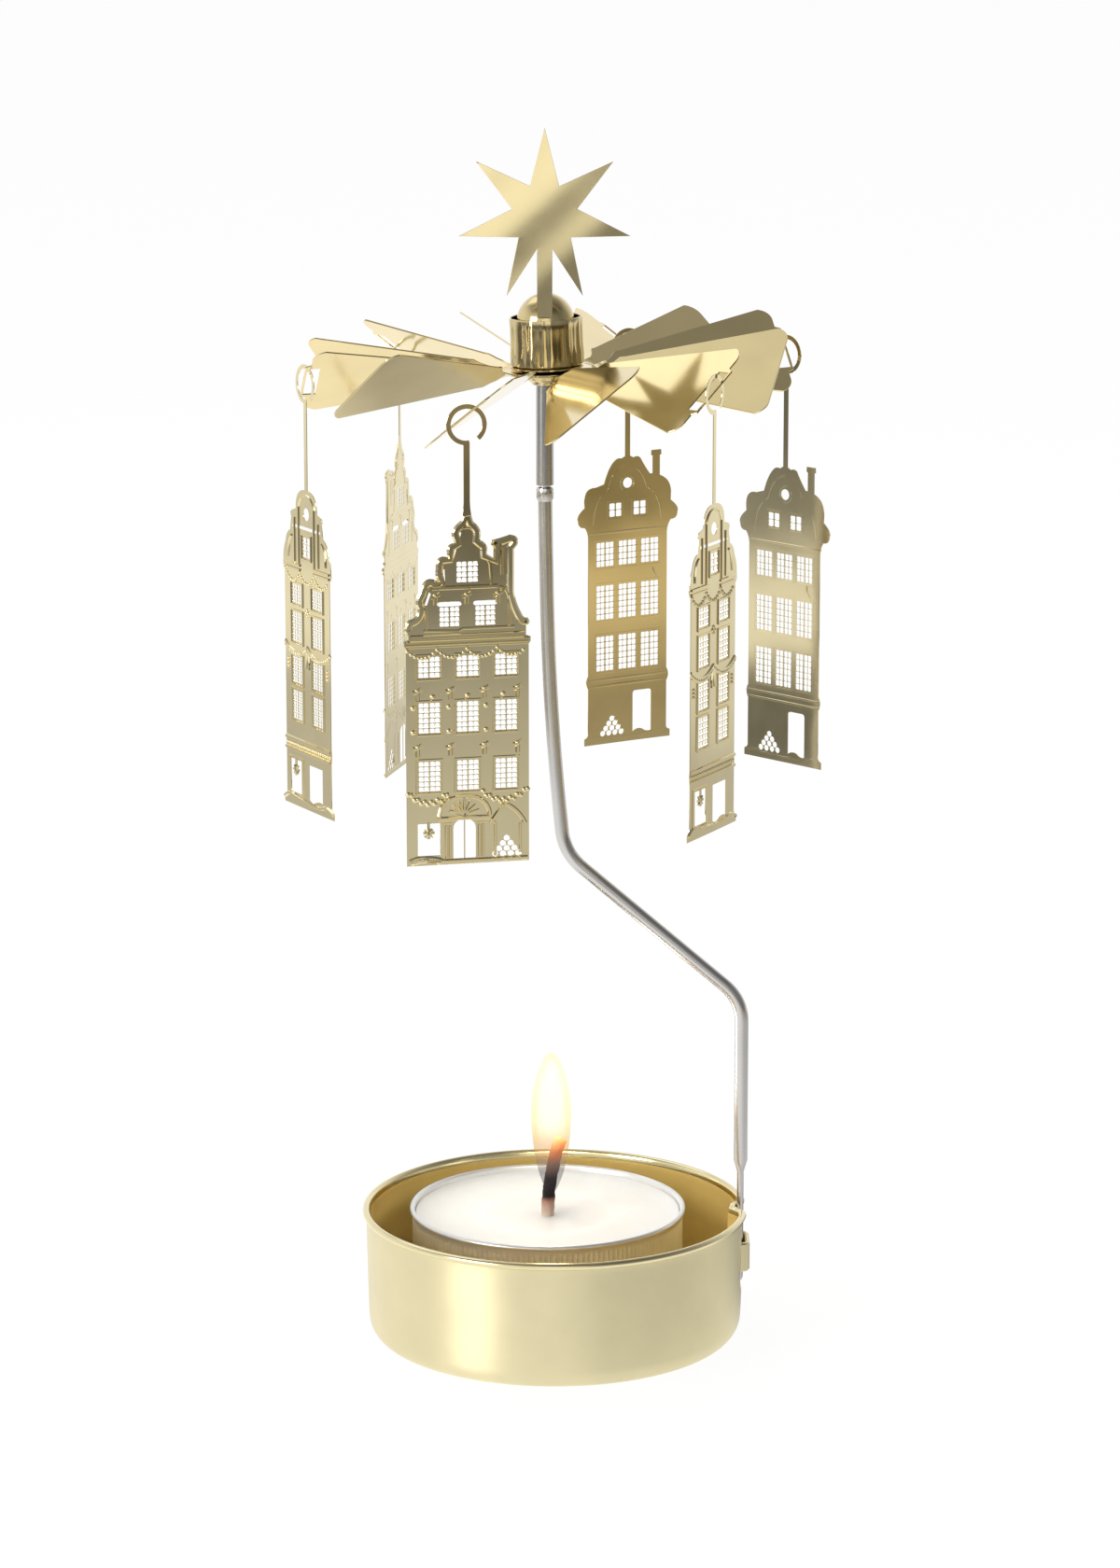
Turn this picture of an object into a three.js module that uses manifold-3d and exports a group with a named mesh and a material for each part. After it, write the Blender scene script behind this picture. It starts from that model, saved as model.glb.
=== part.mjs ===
// Rotating candle holder. A drawn cup holds a tealight, a bent rod stands in the cup's wall, and a
// fan wheel turns on a needle point above the flame. Six flat townhouses hang from the fan's edge.
// Millimetres and degrees, +Z up, origin at the centre of the cup's underside, front at -Y.
import * as THREE from 'three';
import { mergeVertices } from 'three/addons/utils/BufferGeometryUtils.js';
import Module from 'manifold-3d';

// Fits between the pieces
const seatGap = 0.25; // pieces that rest on each other
const slipGap = 0.15; // thin pieces that slide together
const runGap = 0.25; // fan hub round the sleeve

// Cup
const cupRadius = 26.05; // outside of the wall, under the rim
const cupTaper = 0.35; // how much narrower the wall is at the floor
const cupHeight = 18.2;
const cupWall = 0.6;
const cupCorner = 2.8; // outside radius round the floor
const rimBead = 0.5; // radius of the rolled rim

// Rod and the strap that holds it
const rodRadius = 0.95;
const rodInset = 0.45; // middle of the rod's foot, inside the cup's outer face
const tangThick = 0.9; // the rod's flattened foot
const tangWidth = 2.8;
const tangFoot = 7.6; // height of its lower end
const tangTop = 24.6; // height where the rod is round again
const strapLow = 9.4;
const strapHeight = 4.1;
const strapThick = 0.6;
const pocketWall = 0.6; // wall of the dent behind the tang
const bendLowZ = 47.5; // corner of the outer bend
const bendHighX = 1.3; // corner of the inner bend
const bendHighZ = 68.2;
const leanX = -0.75; // where the rod straightens up
const leanZ = 87.8;
const bendRadius = 2.6; // length that each bend takes from its straight runs
const leanRadius = 16;

// Needle, sleeve and the rod's upper end
const axisX = -1.3; // the fan's axis
const stopLow = 116.9; // swaged stop on the rod
const stopHeight = 1.7;
const stopRadius = 1.08;
const sleeveRadius = 1.18;
const sleeveWall = 0.28;
const sleeveLength = 19.6;
const spigotLength = 11; // rod inside the sleeve
const needleSeat = 5; // needle inside the sleeve
const needleShank = 1.2; // straight stretch above the sleeve
const needlePoint = 4.4;

// Fan hub
const rotorLean = 1.85; // the fan hangs a little askew on its point
const domeRadius = 3.85;
const domeWall = 0.35;
const flangeThick = 0.35;
const fanDrop = 9.7; // from the needle's tip down to the middle of the fan sheet
const collarHeight = 6.3;
const collarWall = 0.3;
const eyeletWall = 0.35;
const eyeletHeight = 1.5; // below the fan
const eyeletFlange = 0.9; // beyond its barrel
const eyeletRise = 0.5; // above the fan

// Fan wheel, one stamped sheet
const sheet = 0.36;
const bladeCount = 12;
const bladeTwist = 36.5;
const bladeLift = [-2.6, -1.1, 0, 0.9, 1.9, 0, -1.8, -1.1, 0.6, 0, 0.8, 3.5]; // each blade's own bend upwards
const discRadius = 6.4;
const neckHalf = 1.0;
const neckLength = 1.9; // where a blade twists
const shoulderLength = 1.7; // where it widens after the neck
const shoulderHalf = 2.3;
const bladeReach = 32.1;
const bladeHalf = 7.9; // half the width at the outer edge
const bladeCorner = 2.2;
const firstHook = -19; // azimuth of the first hook blade, from the front towards +X
const stripReach = 0.6; // middle of the strip that a house hangs on, past the blade's edge
const stripHalf = 0.16;
const slotHalf = 3.5; // half the length of the slot behind the strip
const slotDepth = 1.7;
const earEnd = 0.8; // metal past each end of the slot

// Star
const starSheet = 0.3;
const starPoints = 7;
const starRadius = 11.6;
const starInner = 4.4;
const starCentre = 11.15; // above the needle's tip
const stemWidth = 2.0;
const stemLow = -2.2; // lower end of the stem, from the needle's tip

// Tealight
const candleX = -1.0;
const candleY = 3.0;
const candleRadius = 18.75;
const candleHeight = 16.4;
const candleWall = 0.35;
const candleRim = 0.35; // radius of its rolled edge
const waxLow = 1.3; // wax surface below the rim
const tabRadius = 6;
const tabThick = 0.4;
const tabNeck = 1.2; // height of the tab's neck
const wickRadius = 0.65;
const wickHeight = 10.4; // above the wax
const wickLean = 1.7; // how far the tip leans to the right

// Hanging houses
const houseSheet = 0.3;
const ringInner = 2.05;
const ringBand = 0.6;
const ringGapFrom = -80; // opening of the hook ring
const ringGapTo = -50;
const stemHalf = 0.42;
const hole = 0.36; // radius of one hole in a pyramid of holes
const holeRows = 4;
const holePitch = 1.02;
const holeRise = 0.68; // from one row of holes to the next

const wasm = await Module();
wasm.setup();

// A closed three.js geometry as a solid, with its shared corners merged
function solid(geometry) {
  const bare = new THREE.BufferGeometry();
  bare.setAttribute('position', geometry.getAttribute('position'));
  if (geometry.index) bare.setIndex(geometry.index);
  const merged = mergeVertices(bare, 1e-4);
  const corners = merged.index.array;
  const faces = [];
  for (let i = 0; i < corners.length; i += 3) {
    const [a, b, c] = corners.slice(i, i + 3);
    if (a !== b && b !== c && c !== a) faces.push(a, b, c);
  }
  return new wasm.Manifold(new wasm.Mesh({
    numProp: 3,
    vertProperties: new Float32Array(merged.getAttribute('position').array),
    triVerts: new Uint32Array(faces),
  }));
}

function finish(metal) {
  const finishes = {
    gold: { color: 0xd9c98a, metalness: 1, roughness: 0.18 },
    satinGold: { color: 0xe6ddb0, metalness: 1, roughness: 0.34 },
    steel: { color: 0xb4b4b8, metalness: 1, roughness: 0.4 },
    aluminium: { color: 0xd4d6d8, metalness: 1, roughness: 0.3 },
    wax: { color: 0xf7f5ee, metalness: 0, roughness: 0.5 },
    char: { color: 0x2a1c14, metalness: 0, roughness: 0.9 },
  };
  return new THREE.MeshStandardMaterial(finishes[metal]);
}

function piece(name, body, metal) {
  const { vertProperties, triVerts } = body.getMesh();
  const geometry = new THREE.BufferGeometry();
  geometry.setAttribute('position', new THREE.BufferAttribute(new Float32Array(vertProperties), 3));
  geometry.setIndex(new THREE.BufferAttribute(new Uint32Array(triVerts), 1));
  geometry.computeVertexNormals();
  const mesh = new THREE.Mesh(geometry, finish(metal));
  mesh.name = name;
  return mesh;
}

// Turns a profile of [radius, height] points about the Z axis
function turned(profile, segments = 32) {
  const points = profile.map(([r, z]) => new THREE.Vector2(r, z));
  return solid(new THREE.LatheGeometry(points, segments).rotateX(Math.PI / 2));
}

function ring(inner, outer, low, high, segments = 32) {
  return turned([[inner, low], [outer, low], [outer, high], [inner, high], [inner, low]], segments);
}

// Points of an arc of a profile, from one angle to another
function arc(cx, cz, radius, from, to, steps) {
  const points = [];
  for (let i = 0; i <= steps; i += 1) {
    const angle = THREE.MathUtils.degToRad(from + ((to - from) * i) / steps);
    points.push([cx + radius * Math.cos(angle), cz + radius * Math.sin(angle)]);
  }
  return points;
}

// A box between two corners
function block(low, high) {
  const size = high.map((value, axis) => value - low[axis]);
  const middle = high.map((value, axis) => (value + low[axis]) / 2);
  return solid(new THREE.BoxGeometry(...size).translate(...middle));
}

// A flat outline in X and Z, given a thickness that is centred on Y = 0
function plate(shape, thickness, curveSegments = 3) {
  const geometry = new THREE.ExtrudeGeometry(shape, { depth: thickness, bevelEnabled: false, curveSegments });
  return solid(geometry.rotateX(Math.PI / 2).translate(0, thickness / 2, 0));
}

const holder = new THREE.Group();

// Cup: drawn from sheet, with a rolled rim, a dent behind the rod's foot and a strap in front of it
const floorRadius = cupRadius - cupTaper;
const innerCorner = Math.max(cupCorner - cupWall, cupWall);
const beadHeight = cupHeight - rimBead;
const cupProfile = [
  [0, 0],
  ...arc(floorRadius - cupCorner, cupCorner, cupCorner, -90, 0, 5),
  ...arc(cupRadius, beadHeight, rimBead, -90, 90, 4),
  [cupRadius - cupWall, beadHeight],
  ...arc(floorRadius - cupWall - innerCorner, cupWall + innerCorner, innerCorner, 0, -90, 4),
  [0, cupWall],
];
const rodX = cupRadius - rodInset;
const strapInside = rodX + tangThick / 2 + seatGap;
const pocketInside = rodX - tangThick / 2 - seatGap;
const pocketHalf = tangWidth / 2 + seatGap;
const pocketFloor = tangFoot - seatGap;
const strapHalf = pocketHalf + strapThick;
const above = cupHeight + rimBead;
const pocketShell = block(
  [pocketInside - pocketWall, -pocketHalf - pocketWall, pocketFloor - pocketWall],
  [cupRadius - cupWall / 2, pocketHalf + pocketWall, beadHeight],
);
const pocketVoid = block([pocketInside, -pocketHalf, pocketFloor], [strapInside + rimBead * 4, pocketHalf, above]);
const strap = block(
  [floorRadius - cupWall, -strapHalf, strapLow],
  [strapInside + strapThick, strapHalf, strapLow + strapHeight],
).subtract(block([0, -pocketHalf, 0], [strapInside, pocketHalf, above]));
const strapOutsideOnly = strap.subtract(turned([[0, 0], [floorRadius, 0], [floorRadius, above], [0, above]], 48));
const cup = turned(cupProfile, 48).add(pocketShell).subtract(pocketVoid).add(strapOutsideOnly);
holder.add(piece('base_cup', cup, 'satinGold'));

// Rod: one wire with two bends, flattened at its foot and turned down at its upper end
const stopTop = stopLow + stopHeight;
const foot = new THREE.Vector3(rodX, 0, tangTop);
const bendLow = new THREE.Vector3(rodX, 0, bendLowZ);
const bendHigh = new THREE.Vector3(bendHighX, 0, bendHighZ);
const leanBend = new THREE.Vector3(leanX, 0, leanZ);
const rodTop = new THREE.Vector3(axisX, 0, stopLow + stopHeight / 2);

// A path of straight runs through the corners, each corner rounded over the given length
function bentPath(corners, lengths) {
  const path = new THREE.CurvePath();
  let from = corners[0];
  for (let i = 1; i < corners.length - 1; i += 1) {
    const before = corners[i - 1].clone().sub(corners[i]).setLength(lengths[i - 1]).add(corners[i]);
    const after = corners[i + 1].clone().sub(corners[i]).setLength(lengths[i - 1]).add(corners[i]);
    path.add(new THREE.LineCurve3(from, before));
    path.add(new THREE.QuadraticBezierCurve3(before, corners[i], after));
    from = after;
  }
  path.add(new THREE.LineCurve3(from, corners[corners.length - 1]));
  return path;
}

function wire(path, radius, steps, sides) {
  const section = new THREE.Shape().absarc(0, 0, radius, 0, Math.PI * 2);
  const options = { steps, extrudePath: path, curveSegments: sides / 2, bevelEnabled: false };
  return solid(new THREE.ExtrudeGeometry(section, options));
}

const spigotRadius = sleeveRadius - sleeveWall - slipGap;
const rodPath = bentPath([foot, bendLow, bendHigh, leanBend, rodTop], [bendRadius, bendRadius, leanRadius]);
const tang = block(
  [rodX - tangThick / 2, -tangWidth / 2, tangFoot],
  [rodX + tangThick / 2, tangWidth / 2, tangTop + rodRadius],
);
const stop = turned([
  [0, stopLow], [rodRadius, stopLow], [stopRadius, stopLow + stopHeight / 3],
  [stopRadius, stopTop], [0, stopTop],
], 16).translate([axisX, 0, 0]);
const spigot = turned([
  [0, stopTop - stopHeight / 2], [spigotRadius, stopTop - stopHeight / 2],
  [spigotRadius, stopTop + spigotLength], [0, stopTop + spigotLength],
], 12).translate([axisX, 0, 0]);
const rod = wire(rodPath, rodRadius, 52, 10).add(tang).add(stop).add(spigot);
holder.add(piece('stand_rod', rod, 'steel'));

// Sleeve and needle: the sleeve slips over the rod's end, the needle is pressed into its top
const sleeveLow = stopTop + seatGap;
const sleeveTop = sleeveLow + sleeveLength;
const sleeve = ring(sleeveRadius - sleeveWall, sleeveRadius, sleeveLow, sleeveTop, 20).translate([axisX, 0, 0]);
holder.add(piece('pivot_sleeve', sleeve, 'steel'));

const needleTip = sleeveTop + needleShank + needlePoint;
const tipRadius = 0.08;
const needle = turned([
  [0, sleeveTop - needleSeat], [spigotRadius, sleeveTop - needleSeat],
  [spigotRadius, sleeveTop + needleShank], [tipRadius, needleTip], [0, needleTip],
], 16).translate([axisX, 0, 0]);
holder.add(piece('pivot_needle', needle, 'steel'));

// Tealight: aluminium cup, wax, wick and the tab that holds the wick
const candle = new THREE.Group();
candle.position.set(candleX, candleY, cupWall + seatGap);
const candleBead = candleHeight - candleRim;
const candleCup = turned([
  [0, 0], [candleRadius - candleWall, 0], [candleRadius, candleWall],
  ...arc(candleRadius, candleBead, candleRim, -90, 90, 4),
  [candleRadius - candleWall, candleBead], [candleRadius - candleWall, candleWall], [0, candleWall],
], 36);
candle.add(piece('tealight_cup', candleCup, 'aluminium'));

const tabLow = candleWall + slipGap;
const neckOutside = wickRadius + slipGap + tabThick;
const tabTop = tabLow + tabThick + tabNeck;
const tab = turned([
  [0, tabLow], [tabRadius, tabLow], [tabRadius, tabLow + tabThick], [neckOutside, tabLow + tabThick],
  [neckOutside, tabTop], [wickRadius + slipGap, tabTop],
  [wickRadius + slipGap, tabLow + tabThick], [0, tabLow + tabThick],
], 20);
candle.add(piece('wick_tab', tab, 'aluminium'));

const waxTop = candleHeight - waxLow;
const waxRadius = candleRadius - candleWall - slipGap;
const wickBore = wickRadius + slipGap;
const meniscus = 0.5;
const wax = turned([
  [wickBore, tabTop + slipGap], [neckOutside + slipGap, tabTop + slipGap],
  [neckOutside + slipGap, tabLow + tabThick + slipGap], [tabRadius + slipGap, tabLow + tabThick + slipGap],
  [tabRadius + slipGap, tabLow], [waxRadius, tabLow], [waxRadius, waxTop + meniscus],
  [waxRadius - 2 * meniscus, waxTop], [wickBore, waxTop], [wickBore, tabTop + slipGap],
], 36);
candle.add(piece('tealight_wax', wax, 'wax'));

const wickFoot = new THREE.Vector3(0, 0, tabLow + tabThick + slipGap);
const wickBend = new THREE.Vector3(0, 0, waxTop + wickHeight / 3);
const wickTip = new THREE.Vector3(wickLean, 0, waxTop + wickHeight);
const wickPath = bentPath([wickFoot, wickBend, wickTip], [wickHeight / 4]);
candle.add(piece('wick', wire(wickPath, wickRadius, 14, 8), 'char'));
holder.add(candle);

// Fan hub, measured from the needle's tip
const rotor = new THREE.Group();
rotor.position.set(axisX, 0, needleTip);
rotor.rotation.y = -THREE.MathUtils.degToRad(rotorLean);

const fanTop = -fanDrop + sheet / 2;
const fanBottom = -fanDrop - sheet / 2;
const stemFace = domeRadius + slipGap; // inner face of the star's stem
const collarInner = Math.hypot(stemFace + starSheet + slipGap, stemWidth / 2);
const collarOuter = collarInner + collarWall;
const domeInner = domeRadius - domeWall;
const domeSpring = seatGap - domeInner; // centre of the round top
const flangeLow = fanTop + slipGap;
const flangeTop = flangeLow + flangeThick;
const dome = turned([
  [domeInner, flangeLow], [collarOuter, flangeLow], [collarOuter, flangeTop], [domeRadius, flangeTop],
  ...arc(0, domeSpring, domeRadius, 0, 90, 5),
  ...arc(0, domeSpring, domeInner, 90, 0, 5),
  [domeInner, flangeLow],
], 28);
rotor.add(piece('hub_dome', dome, 'gold'));

const collarLow = flangeTop + slipGap;
const collar = ring(collarInner, collarOuter, collarLow, collarLow + collarHeight, 28);
rotor.add(piece('hub_collar', collar, 'gold'));

// The eyelet clears the upright sleeve all the way round, although the fan leans
const eyeletTop = fanBottom - slipGap;
const eyeletLow = eyeletTop - eyeletHeight;
const askew = Math.abs(eyeletLow) * Math.sin(THREE.MathUtils.degToRad(rotorLean));
const eyeletInner = sleeveRadius + askew + runGap;
const eyeletOuter = eyeletInner + eyeletWall;
const eyelet = turned([
  [eyeletInner, eyeletLow], [eyeletOuter, eyeletLow],
  [eyeletOuter + eyeletFlange, eyeletTop - eyeletWall], [eyeletOuter + eyeletFlange, eyeletTop],
  [eyeletOuter, eyeletTop], [eyeletOuter, fanTop + eyeletRise],
  [eyeletInner, fanTop + eyeletRise], [eyeletInner, eyeletLow],
], 24);
rotor.add(piece('hub_eyelet', eyelet, 'gold'));

// Fan wheel: a disc with twisted blades. Every second blade has a slot whose outer strip is a hook.
function bladeHalfAt(u) {
  const shoulder = discRadius + neckLength;
  const wide = shoulder + shoulderLength;
  if (u <= shoulder) return neckHalf;
  if (u <= wide) return THREE.MathUtils.lerp(neckHalf, shoulderHalf, (u - shoulder) / shoulderLength);
  const straight = THREE.MathUtils.lerp(shoulderHalf, bladeHalf, (u - wide) / (bladeReach - wide));
  const intoCorner = u - (bladeReach - bladeCorner);
  if (intoCorner <= 0) return straight;
  return straight - bladeCorner + Math.sqrt(Math.max(bladeCorner ** 2 - intoCorner ** 2, 0));
}

function bladeStations() {
  const root = discRadius - neckHalf;
  const stations = [root, discRadius];
  for (let i = 1; i <= 4; i += 1) stations.push(discRadius + (neckLength * i) / 4);
  stations.push(discRadius + neckLength + shoulderLength, (discRadius + bladeReach) / 2);
  for (let i = 0; i <= 4; i += 1) {
    stations.push(bladeReach - bladeCorner * (1 - Math.sin((i * Math.PI) / 8)));
  }
  return stations;
}

function blade() {
  const stations = bladeStations();
  const geometry = new THREE.BoxGeometry(stations.length - 1, 2, sheet, stations.length - 1, 1, 1);
  const corners = geometry.getAttribute('position');
  for (let i = 0; i < corners.count; i += 1) {
    const u = stations[Math.round(corners.getX(i) + (stations.length - 1) / 2)];
    corners.setXYZ(i, u, corners.getY(i) * bladeHalfAt(u), corners.getZ(i));
  }
  return geometry;
}

// Turns each corner of a flat blade about the blade's middle line, over the length of its neck,
// and lifts it in proportion to its distance from the disc
function twist(geometry, lift) {
  const corners = geometry.getAttribute('position');
  for (let i = 0; i < corners.count; i += 1) {
    const [u, v, n] = [corners.getX(i), corners.getY(i), corners.getZ(i)];
    const share = THREE.MathUtils.clamp((u - discRadius) / neckLength, 0, 1);
    const angle = THREE.MathUtils.degToRad(bladeTwist * share);
    const rise = Math.max(u - discRadius, 0) * Math.tan(lift);
    corners.setXYZ(i, u, v * Math.cos(angle) - n * Math.sin(angle), v * Math.sin(angle) + n * Math.cos(angle) + rise);
  }
  return solid(geometry);
}

function flatBox(low, high) {
  const size = [high[0] - low[0], high[1] - low[1], sheet];
  const geometry = new THREE.BoxGeometry(...size);
  return geometry.translate((high[0] + low[0]) / 2, (high[1] + low[1]) / 2, 0);
}

const hookRadius = bladeReach + stripReach;
const stripOutside = hookRadius + stripHalf;
const slotInside = hookRadius - stripHalf - slotDepth;
const earHalf = slotHalf + earEnd;

function hookBlade(lift) {
  const ear = flatBox([bladeReach - bladeCorner, -earHalf], [stripOutside, earHalf]);
  const slot = new THREE.BoxGeometry(slotDepth, slotHalf * 2, sheet * 3).translate(slotInside + slotDepth / 2, 0, 0);
  return twist(blade(), lift).add(twist(ear, lift)).subtract(twist(slot, lift));
}

// Azimuth 0 is the front, and +90 is +X
const azimuth = (k) => firstHook + (360 / bladeCount) * k;
const liftOf = (k) => THREE.MathUtils.degToRad(bladeLift[k % bladeLift.length]);
let fan = turned([[0, fanBottom], [discRadius, fanBottom], [discRadius, fanTop], [0, fanTop]], 48);
fan = fan.subtract(turned([
  [0, fanBottom - 1], [eyeletOuter + slipGap, fanBottom - 1], [eyeletOuter + slipGap, fanTop + 1], [0, fanTop + 1],
], 24));
for (let k = 0; k < bladeCount; k += 1) {
  const one = k % 2 === 0 ? hookBlade(liftOf(k)) : twist(blade(), liftOf(k));
  fan = fan.add(one.translate([0, 0, -fanDrop]).rotate([0, 0, azimuth(k) - 90]));
}
rotor.add(piece('fan_wheel', fan, 'gold'));

// Star: a flat seven-pointed star whose stem is tucked between the dome and the collar
const starShape = new THREE.Shape();
for (let i = 0; i < starPoints * 2; i += 1) {
  const angle = Math.PI / 2 + (i * Math.PI) / starPoints;
  const radius = i % 2 === 0 ? starRadius : starInner;
  const corner = [radius * Math.cos(angle), starCentre + radius * Math.sin(angle)];
  if (i === 0) starShape.moveTo(...corner);
  else starShape.lineTo(...corner);
}
const stem = block([-stemWidth / 2, -starSheet / 2, stemLow], [stemWidth / 2, starSheet / 2, starCentre]);
const star = new THREE.Group();
star.position.y = -stemFace - starSheet / 2;
star.rotation.y = THREE.MathUtils.degToRad(rotorLean); // stands upright, although the fan leans
star.add(piece('star_topper', plate(starShape, starSheet).add(stem), 'gold'));
rotor.add(star);
holder.add(rotor);

// Hanging houses. Each outline is drawn in X and Z from the middle of its lower edge.
// A step is [x, z], or [x, z, hx, hz] for a curve whose handle is at hx, hz.
function draw(steps) {
  const shape = new THREE.Shape();
  steps.forEach(([x, z, hx, hz], i) => {
    if (i === 0) shape.moveTo(x, z);
    else if (hx === undefined) shape.lineTo(x, z);
    else shape.quadraticCurveTo(hx, hz, x, z);
  });
  return shape;
}

const mirrored = (steps) => steps.map(([x, z, hx, hz]) => (hx === undefined ? [-x, z] : [-x, z, -hx, hz]));

// The same steps, walked from the last one to the first
function backwards(steps) {
  return steps.map(([x, z], i) => [x, z, ...(steps[i + 1] ?? []).slice(2)]).reverse();
}

// Cutters for the openings, thicker than the sheet
const cutDepth = houseSheet * 4;
const squareCut = (left, right, low, high) => block([left, -cutDepth / 2, low], [right, cutDepth / 2, high]);

function roundCut(x, z, radius, sides) {
  return plate(new THREE.Shape().absarc(x, z, radius, 0, Math.PI * 2), cutDepth, sides / 2);
}

// A row of windows, spread evenly between the wall's margins
function windowRow({ wall, margin, count, width, sill, height }) {
  const pitch = (2 * (wall - margin) - width) / (count - 1);
  const cuts = [];
  for (let i = 0; i < count; i += 1) {
    const left = -wall + margin + pitch * i;
    cuts.push(squareCut(left, left + width, sill, sill + height));
  }
  return cuts;
}

// Ten round holes stacked as a pyramid
function pyramid(x, low) {
  const cuts = [];
  for (let row = 0; row < holeRows; row += 1) {
    for (let i = 0; i < holeRows - row; i += 1) {
      cuts.push(roundCut(x + holePitch * (i - (holeRows - 1 - row) / 2), low + holeRise * row, hole, 6));
    }
  }
  return cuts;
}

// Hook ring at the origin, and the stem that joins it to a house
function hook(houseTop) {
  const outer = ringInner + ringBand;
  const from = THREE.MathUtils.degToRad(ringGapTo);
  const to = THREE.MathUtils.degToRad(ringGapFrom + 360);
  const shape = new THREE.Shape();
  shape.absarc(0, 0, outer, from, to, false);
  shape.absarc(0, 0, ringInner, to, from, true);
  const stemTop = -ringInner - ringBand / 2;
  const shank = draw([
    [-stemHalf, stemTop], [-stemHalf, houseTop - stemHalf], [stemHalf, houseTop - stemHalf],
    [stemHalf / 2, stemTop],
  ]);
  return plate(shape, houseSheet, 10).add(plate(shank, houseSheet));
}

// hang is how far the house's lower edge is below the middle of its ring
function house(outline, cuts, hang, top) {
  const front = plate(draw(outline), houseSheet).subtract(wasm.Manifold.union(cuts));
  return front.translate([0, 0, -hang]).add(hook(top - hang));
}

// Merchant's house: stepped scroll gable with a chimney
const merchantWall = 8.1;
const merchantHang = 57.5;
const merchantTop = 48.1;
const merchantEaves = 29.1;
const merchantLedge = 0.25; // cornice past the wall
const merchantWindow = 2.85;
const merchantMargin = 1.6;
function merchantHouse() {
  const ledge = merchantWall + merchantLedge;
  const left = mirrored([
    [stemHalf, merchantTop], [0.9, 45.1, 0.5, 46.0], [1.65, 42.3, 2.4, 44.2], [2.6, 40.5, 2.7, 42.1],
    [3.8, 37.3, 4.6, 40.4], [5.8, 37.1, 5.0, 38.2], [6.45, 33.6, 6.9, 35.6], [7.7, 30.6, 9.2, 31.6],
    [merchantWall - 0.35, merchantEaves + 0.8], [ledge, merchantEaves + 0.6], [ledge, merchantEaves],
    [merchantWall, merchantEaves - 0.3], [merchantWall, 0],
  ]);
  const right = [
    [merchantWall, 0], [merchantWall, merchantEaves - 0.3], [ledge, merchantEaves], [ledge, merchantEaves + 0.6],
    [merchantWall - 0.35, merchantEaves + 0.8], [7.7, 31.2], [7.4, 32.3, 8.7, 31.7], [6.15, 35.7, 6.4, 34.0],
    [6.15, 41.3], [5.6, 43.1, 7.2, 42.6], [3.3, 42.5, 4.4, 42.7], [3.45, 41.6, 3.0, 42.0], [3.45, 40.0],
    [2.6, 40.6], [1.65, 42.6, 2.9, 42.0], [0.8, 44.9, 2.1, 44.2], [stemHalf, merchantTop, 0.5, 46.2],
  ];
  const row = { wall: merchantWall, margin: merchantMargin, count: 3, width: merchantWindow };
  const door = draw([[-1.95, 0.75], [1.0, 0.75], [1.0, 4.6], [-0.475, 5.9, 1.0, 5.9], [-1.95, 4.6, -1.95, 5.9]]);
  const cuts = [
    ...windowRow({ ...row, sill: 24.8, height: 2.8 }),
    ...windowRow({ ...row, sill: 17.5, height: 4.05 }),
    ...windowRow({ ...row, sill: 9.8, height: 4.0 }),
    squareCut(-1.4, 1.4, 37.1, 39.85),
    squareCut(-3.65, -1.05, 31.4, 34.3),
    squareCut(1.05, 3.65, 31.4, 34.3),
    squareCut(-6.65, -3.7, 1.3, 5.55),
    plate(door, cutDepth),
    ...pyramid(5.1, 1.1),
  ];
  return house([...left, ...right], cuts, merchantHang, merchantTop);
}

// Narrow house: round-topped gable on shoulders
const narrowWall = 6.5;
const narrowHang = 57.8;
const narrowTop = 43.6;
const narrowEaves = 32.2;
const narrowWindow = 2.75;
const narrowMargin = 2.2;
const narrowFoot = 0.7; // base past the wall
function narrowHouse() {
  const edge = [
    [stemHalf, narrowTop], [3.1, 41.3, 2.9, 43.5], [3.1, 40.6], [4.1, 40.3], [4.4, 39.5, 4.9, 40.2], [4.9, 37.6],
    [6.2, 35.9, 5.9, 37.2], [6.9, 33.2, 6.7, 34.8], [narrowWall, narrowEaves, 7.0, narrowEaves + 0.2],
    [narrowWall, 1.7], [narrowWall + narrowFoot, 0.8], [narrowWall + narrowFoot, 0],
  ];
  const row = { wall: narrowWall, margin: narrowMargin, count: 2, width: narrowWindow };
  const cuts = [
    ...windowRow({ ...row, sill: 27.9, height: 2.55 }),
    ...windowRow({ ...row, sill: 22.65, height: 4.0 }),
    ...windowRow({ ...row, sill: 17.0, height: 4.0 }),
    ...windowRow({ ...row, sill: 12.0, height: 3.95 }),
    squareCut(-1.05, 1.05, 34.5, 37.2),
    squareCut(-4.0, 4.0, 38.2, 38.6),
    roundCut(0, 40.35, 0.82, 12),
    squareCut(-5.2, -2.0, 1.8, 6.35),
    squareCut(0.1, 3.95, 1.2, 6.3),
  ];
  return house([...mirrored(edge), ...backwards(edge)], cuts, narrowHang, narrowTop);
}

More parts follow.
